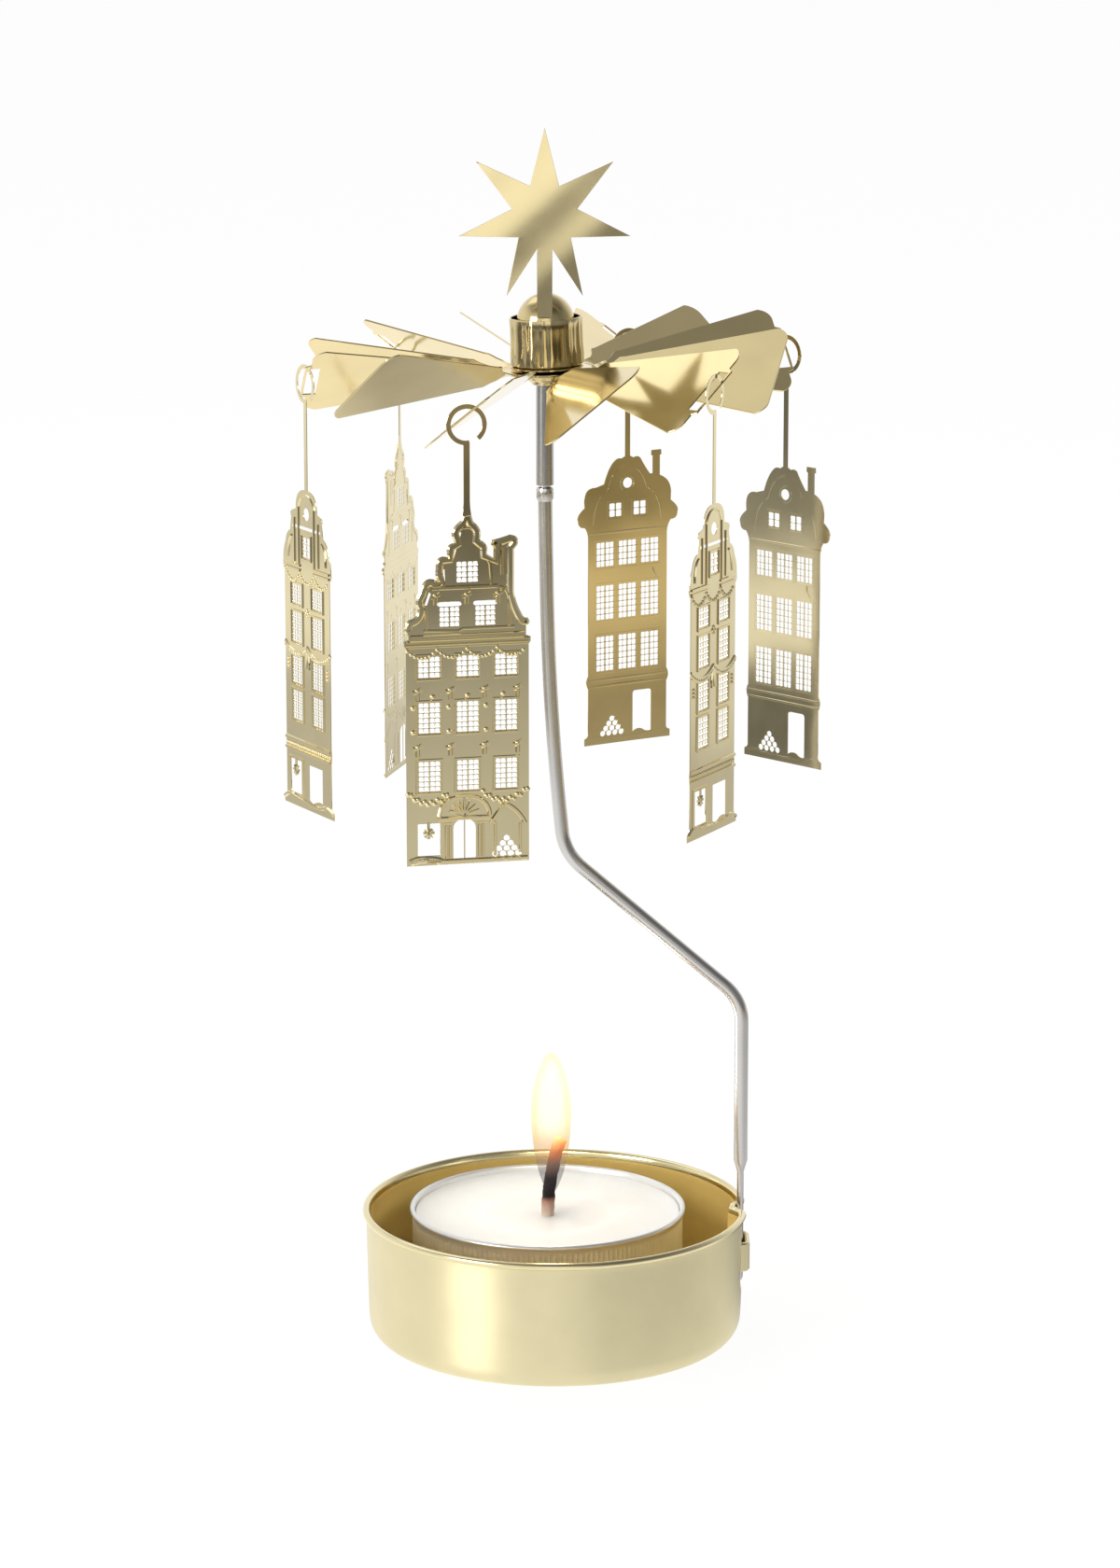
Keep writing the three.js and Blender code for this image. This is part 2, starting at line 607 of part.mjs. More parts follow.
// Bell-gabled house with side scrolls and a chimney. Its front is seen from -Y, so the chimney is left.
const bellWall = 6.5;
const bellHang = 56.1;
const bellTop = 40.6;
const bellEaves = 29.6;
const bellWindow = 2.83;
const bellMargin = 1.4;
const bellFoot = 0.6;
const bellEar = 1.7; // side scrolls past the wall
function bellHouse() {
  const earTip = bellWall + bellEar;
  const base = [
    [bellWall, 1.5], [bellWall + bellFoot, 1.0], [bellWall + bellFoot, 0],
  ];
  const ear = [
    [7.1, 34.0], [earTip, 32.2, earTip + 0.3, 32.9], [7.1, 31.2, earTip, 31.2], [bellWall, bellEaves],
    [bellWall, 10.0], [bellWall, 8.1, bellWall + bellFoot, 9.1],
  ];
  const plain = [
    [stemHalf, bellTop], [2.1, 40.3], [3.9, 37.1, 3.3, 38.8], [5.2, 36.75], [7.1, 35.0, 7.1, 36.9], ...ear, ...base,
  ];
  const withChimney = [
    [stemHalf, bellTop], [2.1, 40.4], [3.7, 38.0, 3.1, 38.9], [4.1, 38.0], [4.1, 40.5], [3.85, 40.6],
    [3.9, 41.3], [5.5, 41.3], [5.55, 40.6], [5.3, 40.5], [5.3, 37.7], [7.15, 35.2, 7.1, 37.0], ...ear, ...base,
  ];
  const row = { wall: bellWall, margin: bellMargin, count: 3, width: bellWindow };
  const cuts = [
    ...windowRow({ ...row, sill: 25.4, height: 3.5 }),
    ...windowRow({ ...row, sill: 17.85, height: 4.9 }),
    ...windowRow({ ...row, sill: 10.5, height: 5.0 }),
    squareCut(-3.0, -1.0, 32.35, 34.3),
    squareCut(1.0, 3.0, 32.35, 34.3),
    roundCut(0, 37.0, 0.73, 12),
    squareCut(-3.95, -0.95, 1.2, 7.2),
    ...pyramid(2.5, 1.5),
  ];
  return house([...mirrored(withChimney), ...backwards(plain)], cuts, bellHang, bellTop);
}

// Where each house hangs: its hook blade, how far it has turned from facing straight outwards,
// where its ring's centre is beside and below the strip, and how far it has slid up the strip
const designs = { merchant: merchantHouse(), narrow: narrowHouse(), bell: bellHouse() };
const hanging = [
  { design: 'merchant', place: 'front', k: 0, turn: 32, beside: 0.4, below: 1.0, along: 0 },
  { design: 'narrow', place: 'right', k: 2, turn: 21, beside: 0.3, below: 0.3, along: 0 },
  { design: 'bell', place: 'right', k: 4, turn: 34, beside: -0.1, below: 0.7, along: 0 },
  { design: 'bell', place: 'back', k: 6, turn: 50, beside: -0.55, below: 0.9, along: 0 },
  { design: 'merchant', place: 'back', k: 8, turn: 34, beside: 0.1, below: 1.0, along: -1.6 },
  { design: 'narrow', place: 'left', k: 10, turn: 19, beside: 0.3, below: 0.3, along: 0 },
];
rotor.updateMatrix();
const slope = THREE.MathUtils.degToRad(bladeTwist);
for (const { design, place, k, turn, beside, below, along } of hanging) {
  const bearing = THREE.MathUtils.degToRad(azimuth(k) - 90);
  const rise = (hookRadius - discRadius) * Math.tan(liftOf(k));
  const strip = new THREE.Vector3(hookRadius * Math.cos(bearing), hookRadius * Math.sin(bearing), rise - fanDrop);
  const level = along * Math.cos(slope);
  strip.add(new THREE.Vector3(-level * Math.sin(bearing), level * Math.cos(bearing), along * Math.sin(slope)));
  const hanger = new THREE.Group();
  hanger.position.copy(strip.applyMatrix4(rotor.matrix));
  hanger.rotation.z = THREE.MathUtils.degToRad(azimuth(k) + turn);
  hanger.add(piece(`house_${design}_${place}`, designs[design].translate([beside, 0, -below]), 'gold'));
  holder.add(hanger);
}

export default holder;
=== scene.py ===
"""Rotating candle holder: a cup with a tealight, a bent rod, a fan wheel, a star and six townhouses."""
import math

import bmesh
import bpy
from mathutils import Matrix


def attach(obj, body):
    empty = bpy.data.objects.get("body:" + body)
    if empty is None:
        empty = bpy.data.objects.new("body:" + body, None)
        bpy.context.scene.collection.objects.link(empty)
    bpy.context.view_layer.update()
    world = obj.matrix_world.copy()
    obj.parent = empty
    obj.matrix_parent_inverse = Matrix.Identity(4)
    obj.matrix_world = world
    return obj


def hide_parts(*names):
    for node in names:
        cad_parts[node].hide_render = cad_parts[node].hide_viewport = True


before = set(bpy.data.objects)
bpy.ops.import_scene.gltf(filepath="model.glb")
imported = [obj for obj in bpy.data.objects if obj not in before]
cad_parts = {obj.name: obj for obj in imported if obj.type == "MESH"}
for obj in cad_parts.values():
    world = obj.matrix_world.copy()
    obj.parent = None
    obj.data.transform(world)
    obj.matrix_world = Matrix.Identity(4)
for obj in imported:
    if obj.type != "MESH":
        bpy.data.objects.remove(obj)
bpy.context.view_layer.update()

# Cup. Drawn from lacquered brass sheet, with a rolled rim and a rounded floor. The wall is dented
# in at the rod's foot, and a strap pressed out of it holds the foot. Pieces are drawn in millimetres
# and scaled to metres as they are set down.
MM = 0.001
cup_radius = 26.05
cup_foot = 25.7
cup_height = 18.2
cup_wall = 0.6
cup_corner = 2.8
taper_height = 17
rim_bead = 0.5
dent_bands = [(1.3, 0.55), (1.9, 0.5), (2.6, 0.3), (3.4, 0.15)]  # half width, and how far it goes in
dent_low = 7.0
strap_low = 9.4
strap_height = 4.1
dull_below, bright_above = 10.5, 16.5


def bow(cx, cy, radius, start, end, steps):
    """Points of an arc, from one angle to another in degrees."""
    turn = [math.radians(start + (end - start) * i / steps) for i in range(steps + 1)]
    return [(cx + radius * math.cos(a), cy + radius * math.sin(a)) for a in turn]


def take(piece):
    """Makes the piece the only selected and active one."""
    bpy.ops.object.select_all(action="DESELECT")
    piece.select_set(True)
    bpy.context.view_layer.objects.active = piece


def mode(kind):
    """Puts the piece in hand into edit mode or back into object mode."""
    bpy.ops.object.mode_set(mode=kind)


def pick(piece, wanted):
    """In edit mode, selects the corners for which wanted(x, y, z) is true, and nothing else."""
    bpy.ops.mesh.select_all(action="DESELECT")
    shell = bmesh.from_edit_mesh(piece.data)
    for corner in shell.verts:
        if wanted(*corner.co):
            corner.select_set(True)
    shell.select_flush(True)
    bmesh.update_edit_mesh(piece.data)


def closed(merge):
    """Merges the doubled corners of the piece in hand and turns its faces outwards."""
    mode("EDIT")
    bpy.ops.mesh.select_all(action="SELECT")
    bpy.ops.mesh.remove_doubles(threshold=merge)
    bpy.ops.mesh.normals_make_consistent(inside=False)
    mode("OBJECT")


def spun(name, profile, steps):
    """A profile of (radius, height) points, drawn point by point and spun about the Z axis."""
    bpy.ops.object.select_all(action="DESELECT")
    bpy.ops.mesh.primitive_plane_add(size=1, location=(0, 0, 0))
    piece = bpy.context.object
    piece.name = name
    mode("EDIT")
    bpy.ops.mesh.merge(type="CENTER")
    bpy.ops.transform.translate(value=(profile[0][0], 0, profile[0][1]))
    for (r0, z0), (r1, z1) in zip(profile, profile[1:]):
        bpy.ops.mesh.extrude_region_move(TRANSFORM_OT_translate={"value": (r1 - r0, 0, z1 - z0)})
    bpy.ops.mesh.select_all(action="SELECT")
    bpy.ops.mesh.spin(steps=steps, angle=math.tau, center=(0, 0, 0), axis=(0, 0, 1))
    closed(0.002)
    return piece


def worked(piece, kind, **settings):
    """Gives the piece a modifier with these settings and applies it."""
    take(piece)
    modifier = piece.modifiers.new(kind.title(), kind)
    for key, value in settings.items():
        setattr(modifier, key, value)
    bpy.ops.object.modifier_apply(modifier=modifier.name)


def settle(piece, spot=(0, 0, 0), turn=(0, 0, 0), crease=35):
    """Sets a piece that was drawn in millimetres down in its place, in metres, and smooths it."""
    take(piece)
    piece.location = [v * MM for v in spot]
    piece.rotation_euler = [math.radians(v) for v in turn]
    piece.scale = (MM, MM, MM)
    bpy.ops.object.transform_apply(location=True, rotation=True, scale=True)
    bpy.ops.object.shade_smooth_by_angle(angle=math.radians(crease))
    worked(piece, "WEIGHTED_NORMAL", keep_sharp=True)


def drawn(name, loops, merge, looped, **settings):
    """Lines through points (x, y, z), drawn as a curve with these settings and made a mesh."""
    bpy.ops.object.select_all(action="DESELECT")
    bpy.ops.curve.primitive_bezier_curve_add(location=(0, 0, 0))
    piece = bpy.context.object
    piece.name = name
    for key, value in settings.items():
        setattr(piece.data, key, value)
    piece.data.splines.clear()
    for loop in loops:
        line = piece.data.splines.new("POLY")
        line.points.add(len(loop) - 1)
        line.use_cyclic_u = looped
        for point, spot in zip(line.points, loop):
            point.co = (*spot, 1)
    bpy.ops.object.convert(target="MESH")
    closed(merge)
    return piece


def flat_sheet(name, outline, openings, thick, edge=0.0):
    """A sheet cut to an outline with openings, its middle at Z = 0 and its edges eased."""
    loops = [[(x, y, 0) for x, y in loop] for loop in (outline, *openings)]
    return drawn(name, loops, 0.0005, True, dimensions="2D", fill_mode="BOTH", extrude=thick / 2 - edge,
                 bevel_depth=edge, bevel_resolution=0, offset=-edge)


def joined(first, *others):
    """Joins pieces of one metal into the first."""
    take(first)
    for other in others:
        other.select_set(True)
    bpy.ops.object.join()
    return first


def finish_of(name):
    """A new material, its node tree and its shader."""
    made = bpy.data.materials.new(name)
    made.use_nodes = True
    return made, made.node_tree, made.node_tree.nodes["Principled BSDF"]


def feed(tree, node, inputs):
    """Puts numbers, colours, other nodes or their outlets on a node's inputs."""
    for key, value in inputs.items():
        if isinstance(value, bpy.types.Node):
            value = value.outputs[0]
        if isinstance(value, bpy.types.NodeSocket):
            tree.links.new(value, node.inputs[key])
        else:
            node.inputs[key].default_value = value


def fed(tree, kind, inputs, **switches):
    """A new node of a kind, with its switches set and its inputs fed."""
    node = tree.nodes.new(f"ShaderNode{kind}")
    for key, value in switches.items():
        setattr(node, key, value)
    feed(tree, node, inputs)
    return node


def ranged(source, start=0, end=1, low=0, high=1):
    """A number that goes from low to high while the source, a node or an outlet, goes from start to end."""
    return fed(source.id_data, "MapRange", {
        "Value": source, "From Min": start, "From Max": end, "To Min": low, "To Max": high,
    })


def shades(source, stops):
    """A colour ramp through stops (place, colour), read at the source."""
    ramp = fed(source.id_data, "ValToRGB", {"Fac": source})
    elements = ramp.color_ramp.elements
    for element, (place, colour) in zip(elements, (stops[0], stops[-1])):
        element.position = place
        element.color = (*colour, 1)
    for place, colour in stops[1:-1]:
        elements.new(place).color = (*colour, 1)
    return ramp


def axes_of(tree, kind="Object"):
    """The outlets X, Y and Z of the place that is shaded."""
    place = fed(tree, "TexCoord", {}).outputs[kind]
    return fed(tree, "SeparateXYZ", {"Vector": place}).outputs


def metal(name, colour, roughness, spread, wave, grain):
    """Lacquered or bare metal: uneven colour and shine, a wavy sheet and a fine grain."""
    made, tree, shader = finish_of(name)
    place = fed(tree, "TexCoord", {}).outputs["Object"]
    patches = fed(tree, "TexNoise", {"Vector": place, "Scale": 160, "Detail": 5})
    tint = shades(patches, [(0.3, [c * 0.93 for c in colour]), (0.7, colour)])
    shine = ranged(patches, low=roughness - spread, high=roughness + spread)
    swell = fed(tree, "TexNoise", {"Vector": place, "Scale": 90, "Detail": 1})
    wavy = fed(tree, "Bump", {"Height": swell, "Strength": 1.0, "Distance": wave * MM})
    specks = fed(tree, "TexNoise", {"Vector": place, "Scale": 7000, "Detail": 2})
    grainy = fed(tree, "Bump", {"Height": specks, "Normal": wavy, "Strength": 1.0, "Distance": grain * MM})
    feed(tree, shader, {"Metallic": 1.0, "Base Color": tint, "Roughness": shine, "Normal": grainy})
    return made


def dress(piece, finish, body, slot, *nodes):
    """Gives a finished piece its material and its body, and hides the CAD nodes that it stands for. slot is
    not used.
    """
    piece.data.materials.clear()
    piece.data.materials.append(finish)
    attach(piece, body)
    if nodes:
        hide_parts(*nodes)


bead_z = cup_height - rim_bead
wall_heights = (4.5, 6.2, 7.4, 9, 12, 15, 16.6)
wall_rows = [(cup_foot + (cup_radius - cup_foot) * z / taper_height, z) for z in wall_heights]
inner_rows = [(r - cup_wall, z) for r, z in reversed(wall_rows)]
cup_profile = [
    (0, 0),
    *bow(cup_foot - cup_corner, cup_corner, cup_corner, -90, 0, 10),
    *wall_rows,
    *bow(cup_radius, bead_z, rim_bead, -80, 180, 12),
    (cup_radius - cup_wall, bead_z - rim_bead),
    *inner_rows,
    *bow(cup_foot - cup_corner, cup_corner, cup_corner - cup_wall, 0, -90, 8),
    (0, cup_wall),
]
cup = spun("cup", cup_profile, 240)
mode("EDIT")
for half, depth in dent_bands:
    pick(cup, lambda x, y, z: x > 20 and abs(y) < half and z > dent_low)
    bpy.ops.transform.translate(value=(-depth, 0, 0))
mode("OBJECT")
strap_side = [(25.5, 3.2), (26.2, 3.05), (26.7, 2.6), (26.9, 1.9)]
strap_inside = [(26.3, 1.7), (26.1, 2.2), (25.5, 2.5)]
strap_outline = [
    *[(x, -y) for x, y in strap_side], *reversed(strap_side),
    *reversed(strap_inside), *[(x, -y) for x, y in strap_inside],
]
strap = flat_sheet("strap", strap_outline, [], strap_height, 0.2)
bpy.ops.transform.translate(value=(0, 0, strap_low + strap_height / 2))
bpy.ops.object.transform_apply(location=True)
cup = joined(cup, strap)
settle(cup)
cup_brass = metal("cup_brass", (0.86, 0.77, 0.48), 0.42, 0.02, 0.0, 0.0006)
cup_tree = cup_brass.node_tree
cup_turned = fed(cup_tree, "Tangent", {}, direction_type="RADIAL", axis="Z")
feed(cup_tree, cup_tree.nodes["Principled BSDF"], {
    "Anisotropic": 0.85, "Anisotropic Rotation": 0.25, "Tangent": cup_turned,
})
dress(cup, cup_brass, "stand", "cup_gold", "base_cup")


def in_cup(x, y, z):
    """True on the inner wall and floor, up to the rolled rim."""
    r, h = math.hypot(x, y) / MM, z / MM
    if h < cup_corner:
        out = max(r - cup_foot + cup_corner, 0)
        return h > cup_wall / 2 and math.hypot(out, h - cup_corner) < cup_corner - cup_wall / 2
    return r < cup_foot - cup_wall / 2 + (cup_radius - cup_foot) * h / taper_height and h < bead_z - 0.1


def on_rim(x, y, z):
    """True on the rolled rim."""
    return z / MM > bead_z - rim_bead - 0.05


def faced(piece, finish, wanted):
    """Gives part of a piece a finish of its own."""
    take(piece)
    piece.data.materials.append(finish)
    mode("EDIT")
    pick(piece, wanted)
    piece.active_material_index = len(piece.data.materials) - 1
    bpy.ops.object.material_slot_assign()
    mode("OBJECT")


# The inner wall and floor are the cup's own brass painted a deeper amber. This painted glow stands in for
# light bounced between the brass walls. Their shine also turns more diffuse towards the floor.
cup_inside_painted_glow = metal("cup_inside_painted_glow", (1.0, 0.76, 0.27), 0.24, 0.03, 0.01, 0.0006)
inside_tree = cup_inside_painted_glow.node_tree
inside_mirror = ranged(axes_of(inside_tree)["Z"], dull_below * MM, bright_above * MM, 0.1, 0.6)
feed(inside_tree, inside_tree.nodes["Principled BSDF"], {"Metallic": inside_mirror})
faced(cup, cup_inside_painted_glow, in_cup)
cup_rim = metal("cup_rim", (0.86, 0.76, 0.46), 0.16, 0.03, 0.01, 0.0006)
faced(cup, cup_rim, on_rim)

# Tealight. A thin aluminium cup with a fluted wall and a rolled edge, filled with white paraffin.
# It stands loose on the cup's floor, a little behind the middle.
light_spot = (-1.0, 3.0, 0.85)
light_radius = 18.75
light_height = 16.4
light_wall = 0.35
light_rim = 0.35
flutes = 160
flute_depth = 0.34
flute_low, flute_high = 1.0, 15.2

rim_z = light_height - light_rim
light_profile = [
    (0, 0), (light_radius - 0.8, 0), (light_radius - 0.2, 0.3), (light_radius, 0.9),
    (light_radius, 1.4), (light_radius, 8), (light_radius, 14.8), (light_radius - 0.05, 15.4),
    *bow(light_radius, rim_z, light_rim, -80, 180, 10),
    (light_radius - light_wall, 15), (light_radius - light_wall, 0.9), (light_radius - 0.9, light_wall),
    (0, light_wall),
]
tealight = spun("tealight_shell", light_profile, flutes * 2)
mode("EDIT")
groove = math.pi / flutes


def in_groove(x, y, z):
    """True on the outer wall's every second corner, between the flutes' ends."""
    outside = math.hypot(x, y) > light_radius - light_wall / 2
    return outside and flute_low < z < flute_high and round(math.atan2(y, x) / groove) % 2 == 0


pick(tealight, in_groove)
inward = 1 - flute_depth / light_radius
bpy.ops.transform.resize(value=(inward, inward, 1), center_override=(0, 0, 0))
mode("OBJECT")
settle(tealight, light_spot, crease=50)
foil = metal("tealight_foil", (0.80, 0.81, 0.82), 0.34, 0.06, 0.02, 0.001)
foil.node_tree.nodes["Principled BSDF"].inputs["Metallic"].default_value = 0.7
dress(tealight, foil, "candle", "aluminium", "tealight_cup")

wax_top = 15.1
wax_radius = 18.25
wax_profile = [
    (0, wax_top - 0.25), (2.2, wax_top - 0.2), (5, wax_top - 0.02), (9, wax_top + 0.06),
    (14, wax_top), (16.6, wax_top + 0.02), (17.6, wax_top + 0.16), (wax_radius, wax_top + 0.5),
    (wax_radius, 0.6), (0, 0.6),
]
wax = spun("wax", wax_profile, 96)
settle(wax, light_spot, crease=60)
paraffin, wax_tree, wax_shader = finish_of("paraffin")
wax_place = fed(wax_tree, "TexCoord", {}).outputs["Object"]
wax_cloud = fed(wax_tree, "TexNoise", {"Vector": wax_place, "Scale": 220, "Detail": 4})
wax_tint = shades(wax_cloud, [(0.25, (0.90, 0.885, 0.85)), (0.7, (0.93, 0.925, 0.91))])
wax_bump = fed(wax_tree, "Bump", {"Height": wax_cloud, "Distance": 0.06 * MM})
feed(wax_tree, wax_shader, {
    "Base Color": wax_tint, "Normal": wax_bump, "Roughness": 0.38,
    "Subsurface Weight": 0.6, "Subsurface Radius": (1.0, 0.9, 0.75), "Subsurface Scale": 0.003,
})
dress(wax, paraffin, "candle", "wax", "tealight_wax")

# Wick, tab and flame. A braided cotton wick, charred where it burns and glowing at its bent tip,
# held in the wax by a small pressed tab. The flame is a hollow teardrop of light round it.
wick_radius = 0.92
wick_line = [
    (0, 0.9), (0, 12), (0, wax_top + 0.6), (0.1, 17.6), (0.4, 20.2), (0.9, 22.8), (1.5, 25.2), (2.0, 25.9),
]
char_low, char_high = 15.5, 26.8
glow_from, glow_most = 0.72, 0.5


def wire(name, points, radius, sides=3):
    """A round wire along points (x, y, z)."""
    return drawn(name, [points], 0.001, False, bevel_depth=radius, bevel_resolution=sides, use_fill_caps=True)


wick = wire("burning_wick", [(x, 0, z) for x, z in wick_line], wick_radius, 4)
worked(wick, "SUBSURF", levels=3, render_levels=3)
braid = bpy.data.textures.new("braid", "CLOUDS")
braid.noise_scale = 0.55
worked(wick, "DISPLACE", texture=braid, strength=0.28, mid_level=0.5)
settle(wick, light_spot, crease=80)
char, char_tree, char_shader = finish_of("charred_cotton")
char_height = ranged(axes_of(char_tree)["Z"], char_low * MM, char_high * MM)
char_tint = shades(char_height, [
    (0, (0.75, 0.62, 0.50)), (0.2, (0.45, 0.24, 0.17)), (0.27, (0.010, 0.006, 0.005)),
    (0.5, (0.02, 0.008, 0.005)), (0.7, (0.05, 0.012, 0.004)), (0.86, (0.12, 0.028, 0.006)),
    (1, (0.42, 0.11, 0.016)),
])
char_glow = ranged(char_height, glow_from, 1, 0, glow_most)
feed(char_tree, char_shader, {
    "Roughness": 0.9, "Base Color": char_tint, "Emission Color": char_tint, "Emission Strength": char_glow,
})
dress(wick, char, "candle", "cotton", "wick")

tab_profile = [
    (0, 0.5), (5.9, 0.5), (6, 0.7), (5.8, 0.9), (1.5, 0.9), (1.2, 1.1), (1.1, 2.1), (0.8, 2.1),
    (0.8, 0.95), (0, 0.95),
]
tab = spun("wick_holder", tab_profile, 32)
settle(tab, light_spot)
dress(tab, foil, "candle", "aluminium", "wick_tab")


def walk(steps, detail=6):
    """Points of a drawing: (x, y) is a corner, and (x, y, hx, hy) a curve with its handle at hx, hy."""
    walked = []
    for x, y, *handle in steps:
        if handle:
            px, py = walked[-1]
            for i in range(1, detail):
                t = i / detail
                a, b, c = (1 - t) ** 2, 2 * t * (1 - t), t * t
                walked.append((a * px + b * handle[0] + c * x, a * py + b * handle[1] + c * y))
        walked.append((x, y))
    return walked


flame_low, flame_high = 19.4, 39.3
flame_centre = (-0.5, 3.0, 0)
flame_light = 15.0
flame_seen = 1.25
flame_steps = 40
flame_side = walk([
    (0.7, flame_low), (2.85, 29.6, 2.5, 22.6), (1.5, 37.4, 2.85, 34.2), (0, flame_high, 0.9, flame_high),
], 24)
skin_low = 22.0
skin_thick = 1.2


def gas(name, low, high, colours, covers):
    """Burning gas: its colour and how much it covers, from its foot to its tip."""
    made, tree, shader = finish_of(name)
    tree.nodes.remove(shader)
    height = ranged(axes_of(tree)["Z"], low * MM, high * MM)
    tint = shades(height, colours)
    cover = shades(height, [(place, (share, share, share)) for place, share in covers])
    seen = fed(tree, "LightPath", {}).outputs["Is Camera Ray"]
    strength = ranged(seen, low=flame_light, high=flame_seen)
    light = fed(tree, "Emission", {"Color": tint, "Strength": strength})
    clear = fed(tree, "BsdfTransparent", {})
    mix = fed(tree, "MixShader", {0: cover, 1: clear, 2: light})
    feed(tree, tree.nodes["Material Output"], {"Surface": mix})
    return made


def lit(shell, finish):
    """Sets a shell of the flame in its place. It casts no shadow."""
    settle(shell, flame_centre, crease=80)
    shell.data.materials.clear()
    shell.data.materials.append(finish)
    shell.visible_shadow = False
    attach(shell, "candle")


skin_side = [(r, z) for r, z in flame_side if z >= skin_low]
skin_foot = skin_side[0][1]
skin_inside = []
for r, z in skin_side:
    share = (z - skin_foot) / (flame_high - skin_foot)
    skin_inside.append((max(r - skin_thick * min(1, share * 1.6), 0), z))
skin = spun("flame", skin_side, flame_steps)
lining = spun("flame_lining", skin_inside, flame_steps)
mode("EDIT")
bpy.ops.mesh.select_all(action="SELECT")
bpy.ops.mesh.flip_normals()
mode("OBJECT")
skin = joined(skin, lining)
mode("EDIT")
bpy.ops.mesh.select_all(action="SELECT")
bpy.ops.mesh.remove_doubles(threshold=0.004)
mode("OBJECT")
skin_gas, skin_tree, skin_shader = finish_of("flame_gas")
skin_tree.nodes.remove(skin_shader)
skin_tint = fed(skin_tree, "VolumeAbsorption", {"Color": (1.0, 0.95, 0.52, 1), "Density": 380})
feed(skin_tree, skin_tree.nodes["Material Output"], {"Volume": skin_tint})
lit(skin, skin_gas)
for name, share, low, high, colours, covers in [
    ("flame_foot", 0.97, flame_low, 39.0,
     [(0, (0.03, 0.03, 0.035)), (0.11, (0.04, 0.04, 0.045)), (0.22, (0.30, 0.23, 0.19)),
      (0.29, (0.62, 0.29, 0.14)), (0.36, (0.74, 0.42, 0.19)), (0.43, (0.76, 0.68, 0.42)),
      (0.52, (0.8, 0.8, 0.7)), (1, (0.8, 0.8, 0.7))],
     [(0, 0.30), (0.12, 0.33), (0.3, 0.34), (0.43, 0.4), (0.55, 0.2), (0.65, 0.0), (1, 0.0)]),
    ("flame_glow", 0.86, 24.0, 38.4, [(0, (1, 0.60, 0.25)), (0.3, (1, 0.9, 0.66)), (1, (1, 0.98, 0.85))],
     [(0, 0.0), (0.2, 0.12), (0.5, 0.35), (1, 0.4)]),
    ("flame_body", 0.72, 25.0, 37.8, [(0, (1, 0.72, 0.40)), (0.3, (1, 0.97, 0.86)), (1, (1, 1, 0.95))],
     [(0, 0.0), (0.2, 0.2), (0.45, 0.5), (1, 0.5)]),
    ("flame_core", 0.55, 26.2, 36.8, [(0, (1, 0.85, 0.60)), (0.3, (1, 1, 0.98)), (1, (1, 1, 0.98))],
     [(0, 0.0), (0.2, 0.3), (0.4, 0.7), (1, 0.6)]),
]:
    stretch = (high - low) / (flame_high - flame_low)
    profile = [(0, low)] + [(r * share, low + (z - flame_low) * stretch) for r, z in flame_side]
    shell = spun(name, profile, flame_steps)
    lit(shell, gas(f"{name}_gas", low, high, colours, covers))

# Rod. One steel wire with two bends, its foot hammered flat to slip behind the cup's strap,
# and a stop swaged near its upper end.
rod_radius = 0.95
rod_corners = [(25.6, 24.6), (25.6, 47.5), (1.3, 68.2), (-0.75, 87.8), (-1.3, 117.75)]
rod_bends = [3.2, 3.2, 16]
tang_thick = 0.9
tang_width = 2.8
tang_low = 7.6
tang_taper = 1.6
tang_tip = 0.4


def bent(corners, lengths, detail=10):
    """Straight runs through the corners, each corner rounded over the given length."""
    walked = [corners[0]]
    for before, corner, after, length in zip(corners, corners[1:], corners[2:], lengths):
        ends = []
        for other in (before, after):
            far = math.dist(other, corner)
            ends.append([c + (o - c) * length / far for c, o in zip(corner, other)])
        for i in range(detail + 1):
            t = i / detail
            a, b, c = (1 - t) ** 2, 2 * t * (1 - t), t * t
            walked.append(tuple(a * p + b * q + c * r for p, q, r in zip(ends[0], corner, ends[1])))
    walked.append(corners[-1])
    return walked


rod_line = bent(rod_corners, rod_bends)
rod = wire("rod", [(x, 0, z) for x, z in rod_line], rod_radius, 6)
mode("EDIT")
rod_foot_x, rod_foot_z = rod_corners[0]
pick(rod, lambda x, y, z: z < rod_foot_z + 0.05)
flat = (tang_thick / 2 / rod_radius, tang_width / 2 / rod_radius, 1)
bpy.ops.mesh.extrude_region_move(TRANSFORM_OT_translate={"value": (0, 0, -tang_taper)})
bpy.ops.transform.resize(value=flat, center_override=(rod_foot_x, 0, rod_foot_z - tang_taper))
tang_drop = rod_foot_z - tang_low - tang_taper - tang_tip
bpy.ops.mesh.extrude_region_move(TRANSFORM_OT_translate={"value": (0, 0, -tang_drop)})
bpy.ops.mesh.extrude_region_move(TRANSFORM_OT_translate={"value": (0, 0, -tang_tip)})
bpy.ops.transform.resize(value=(0.8, 0.8, 1), center_override=(rod_foot_x, 0, tang_low))
bpy.ops.mesh.select_all(action="SELECT")
bpy.ops.mesh.normals_make_consistent(inside=False)
mode("OBJECT")
stop_profile = [
    (0, 116.7), (0.95, 116.7), (1.02, 116.85), (1.16, 117.15), (1.16, 118.2), (1.08, 118.5), (0.8, 118.6),
    (0.74, 118.7), (0.74, 129.6), (0, 129.6),
]
stop = spun("rod_stop", stop_profile, 32)
bpy.ops.transform.translate(value=(rod_corners[-1][0], 0, 0))
bpy.ops.object.transform_apply(location=True)
rod = joined(rod, stop)
settle(rod)
rod_steel = metal("rod_steel", (0.66, 0.64, 0.615), 0.2, 0.04, 0.005, 0.001)
dress(rod, rod_steel, "stand", "steel", "stand_rod")

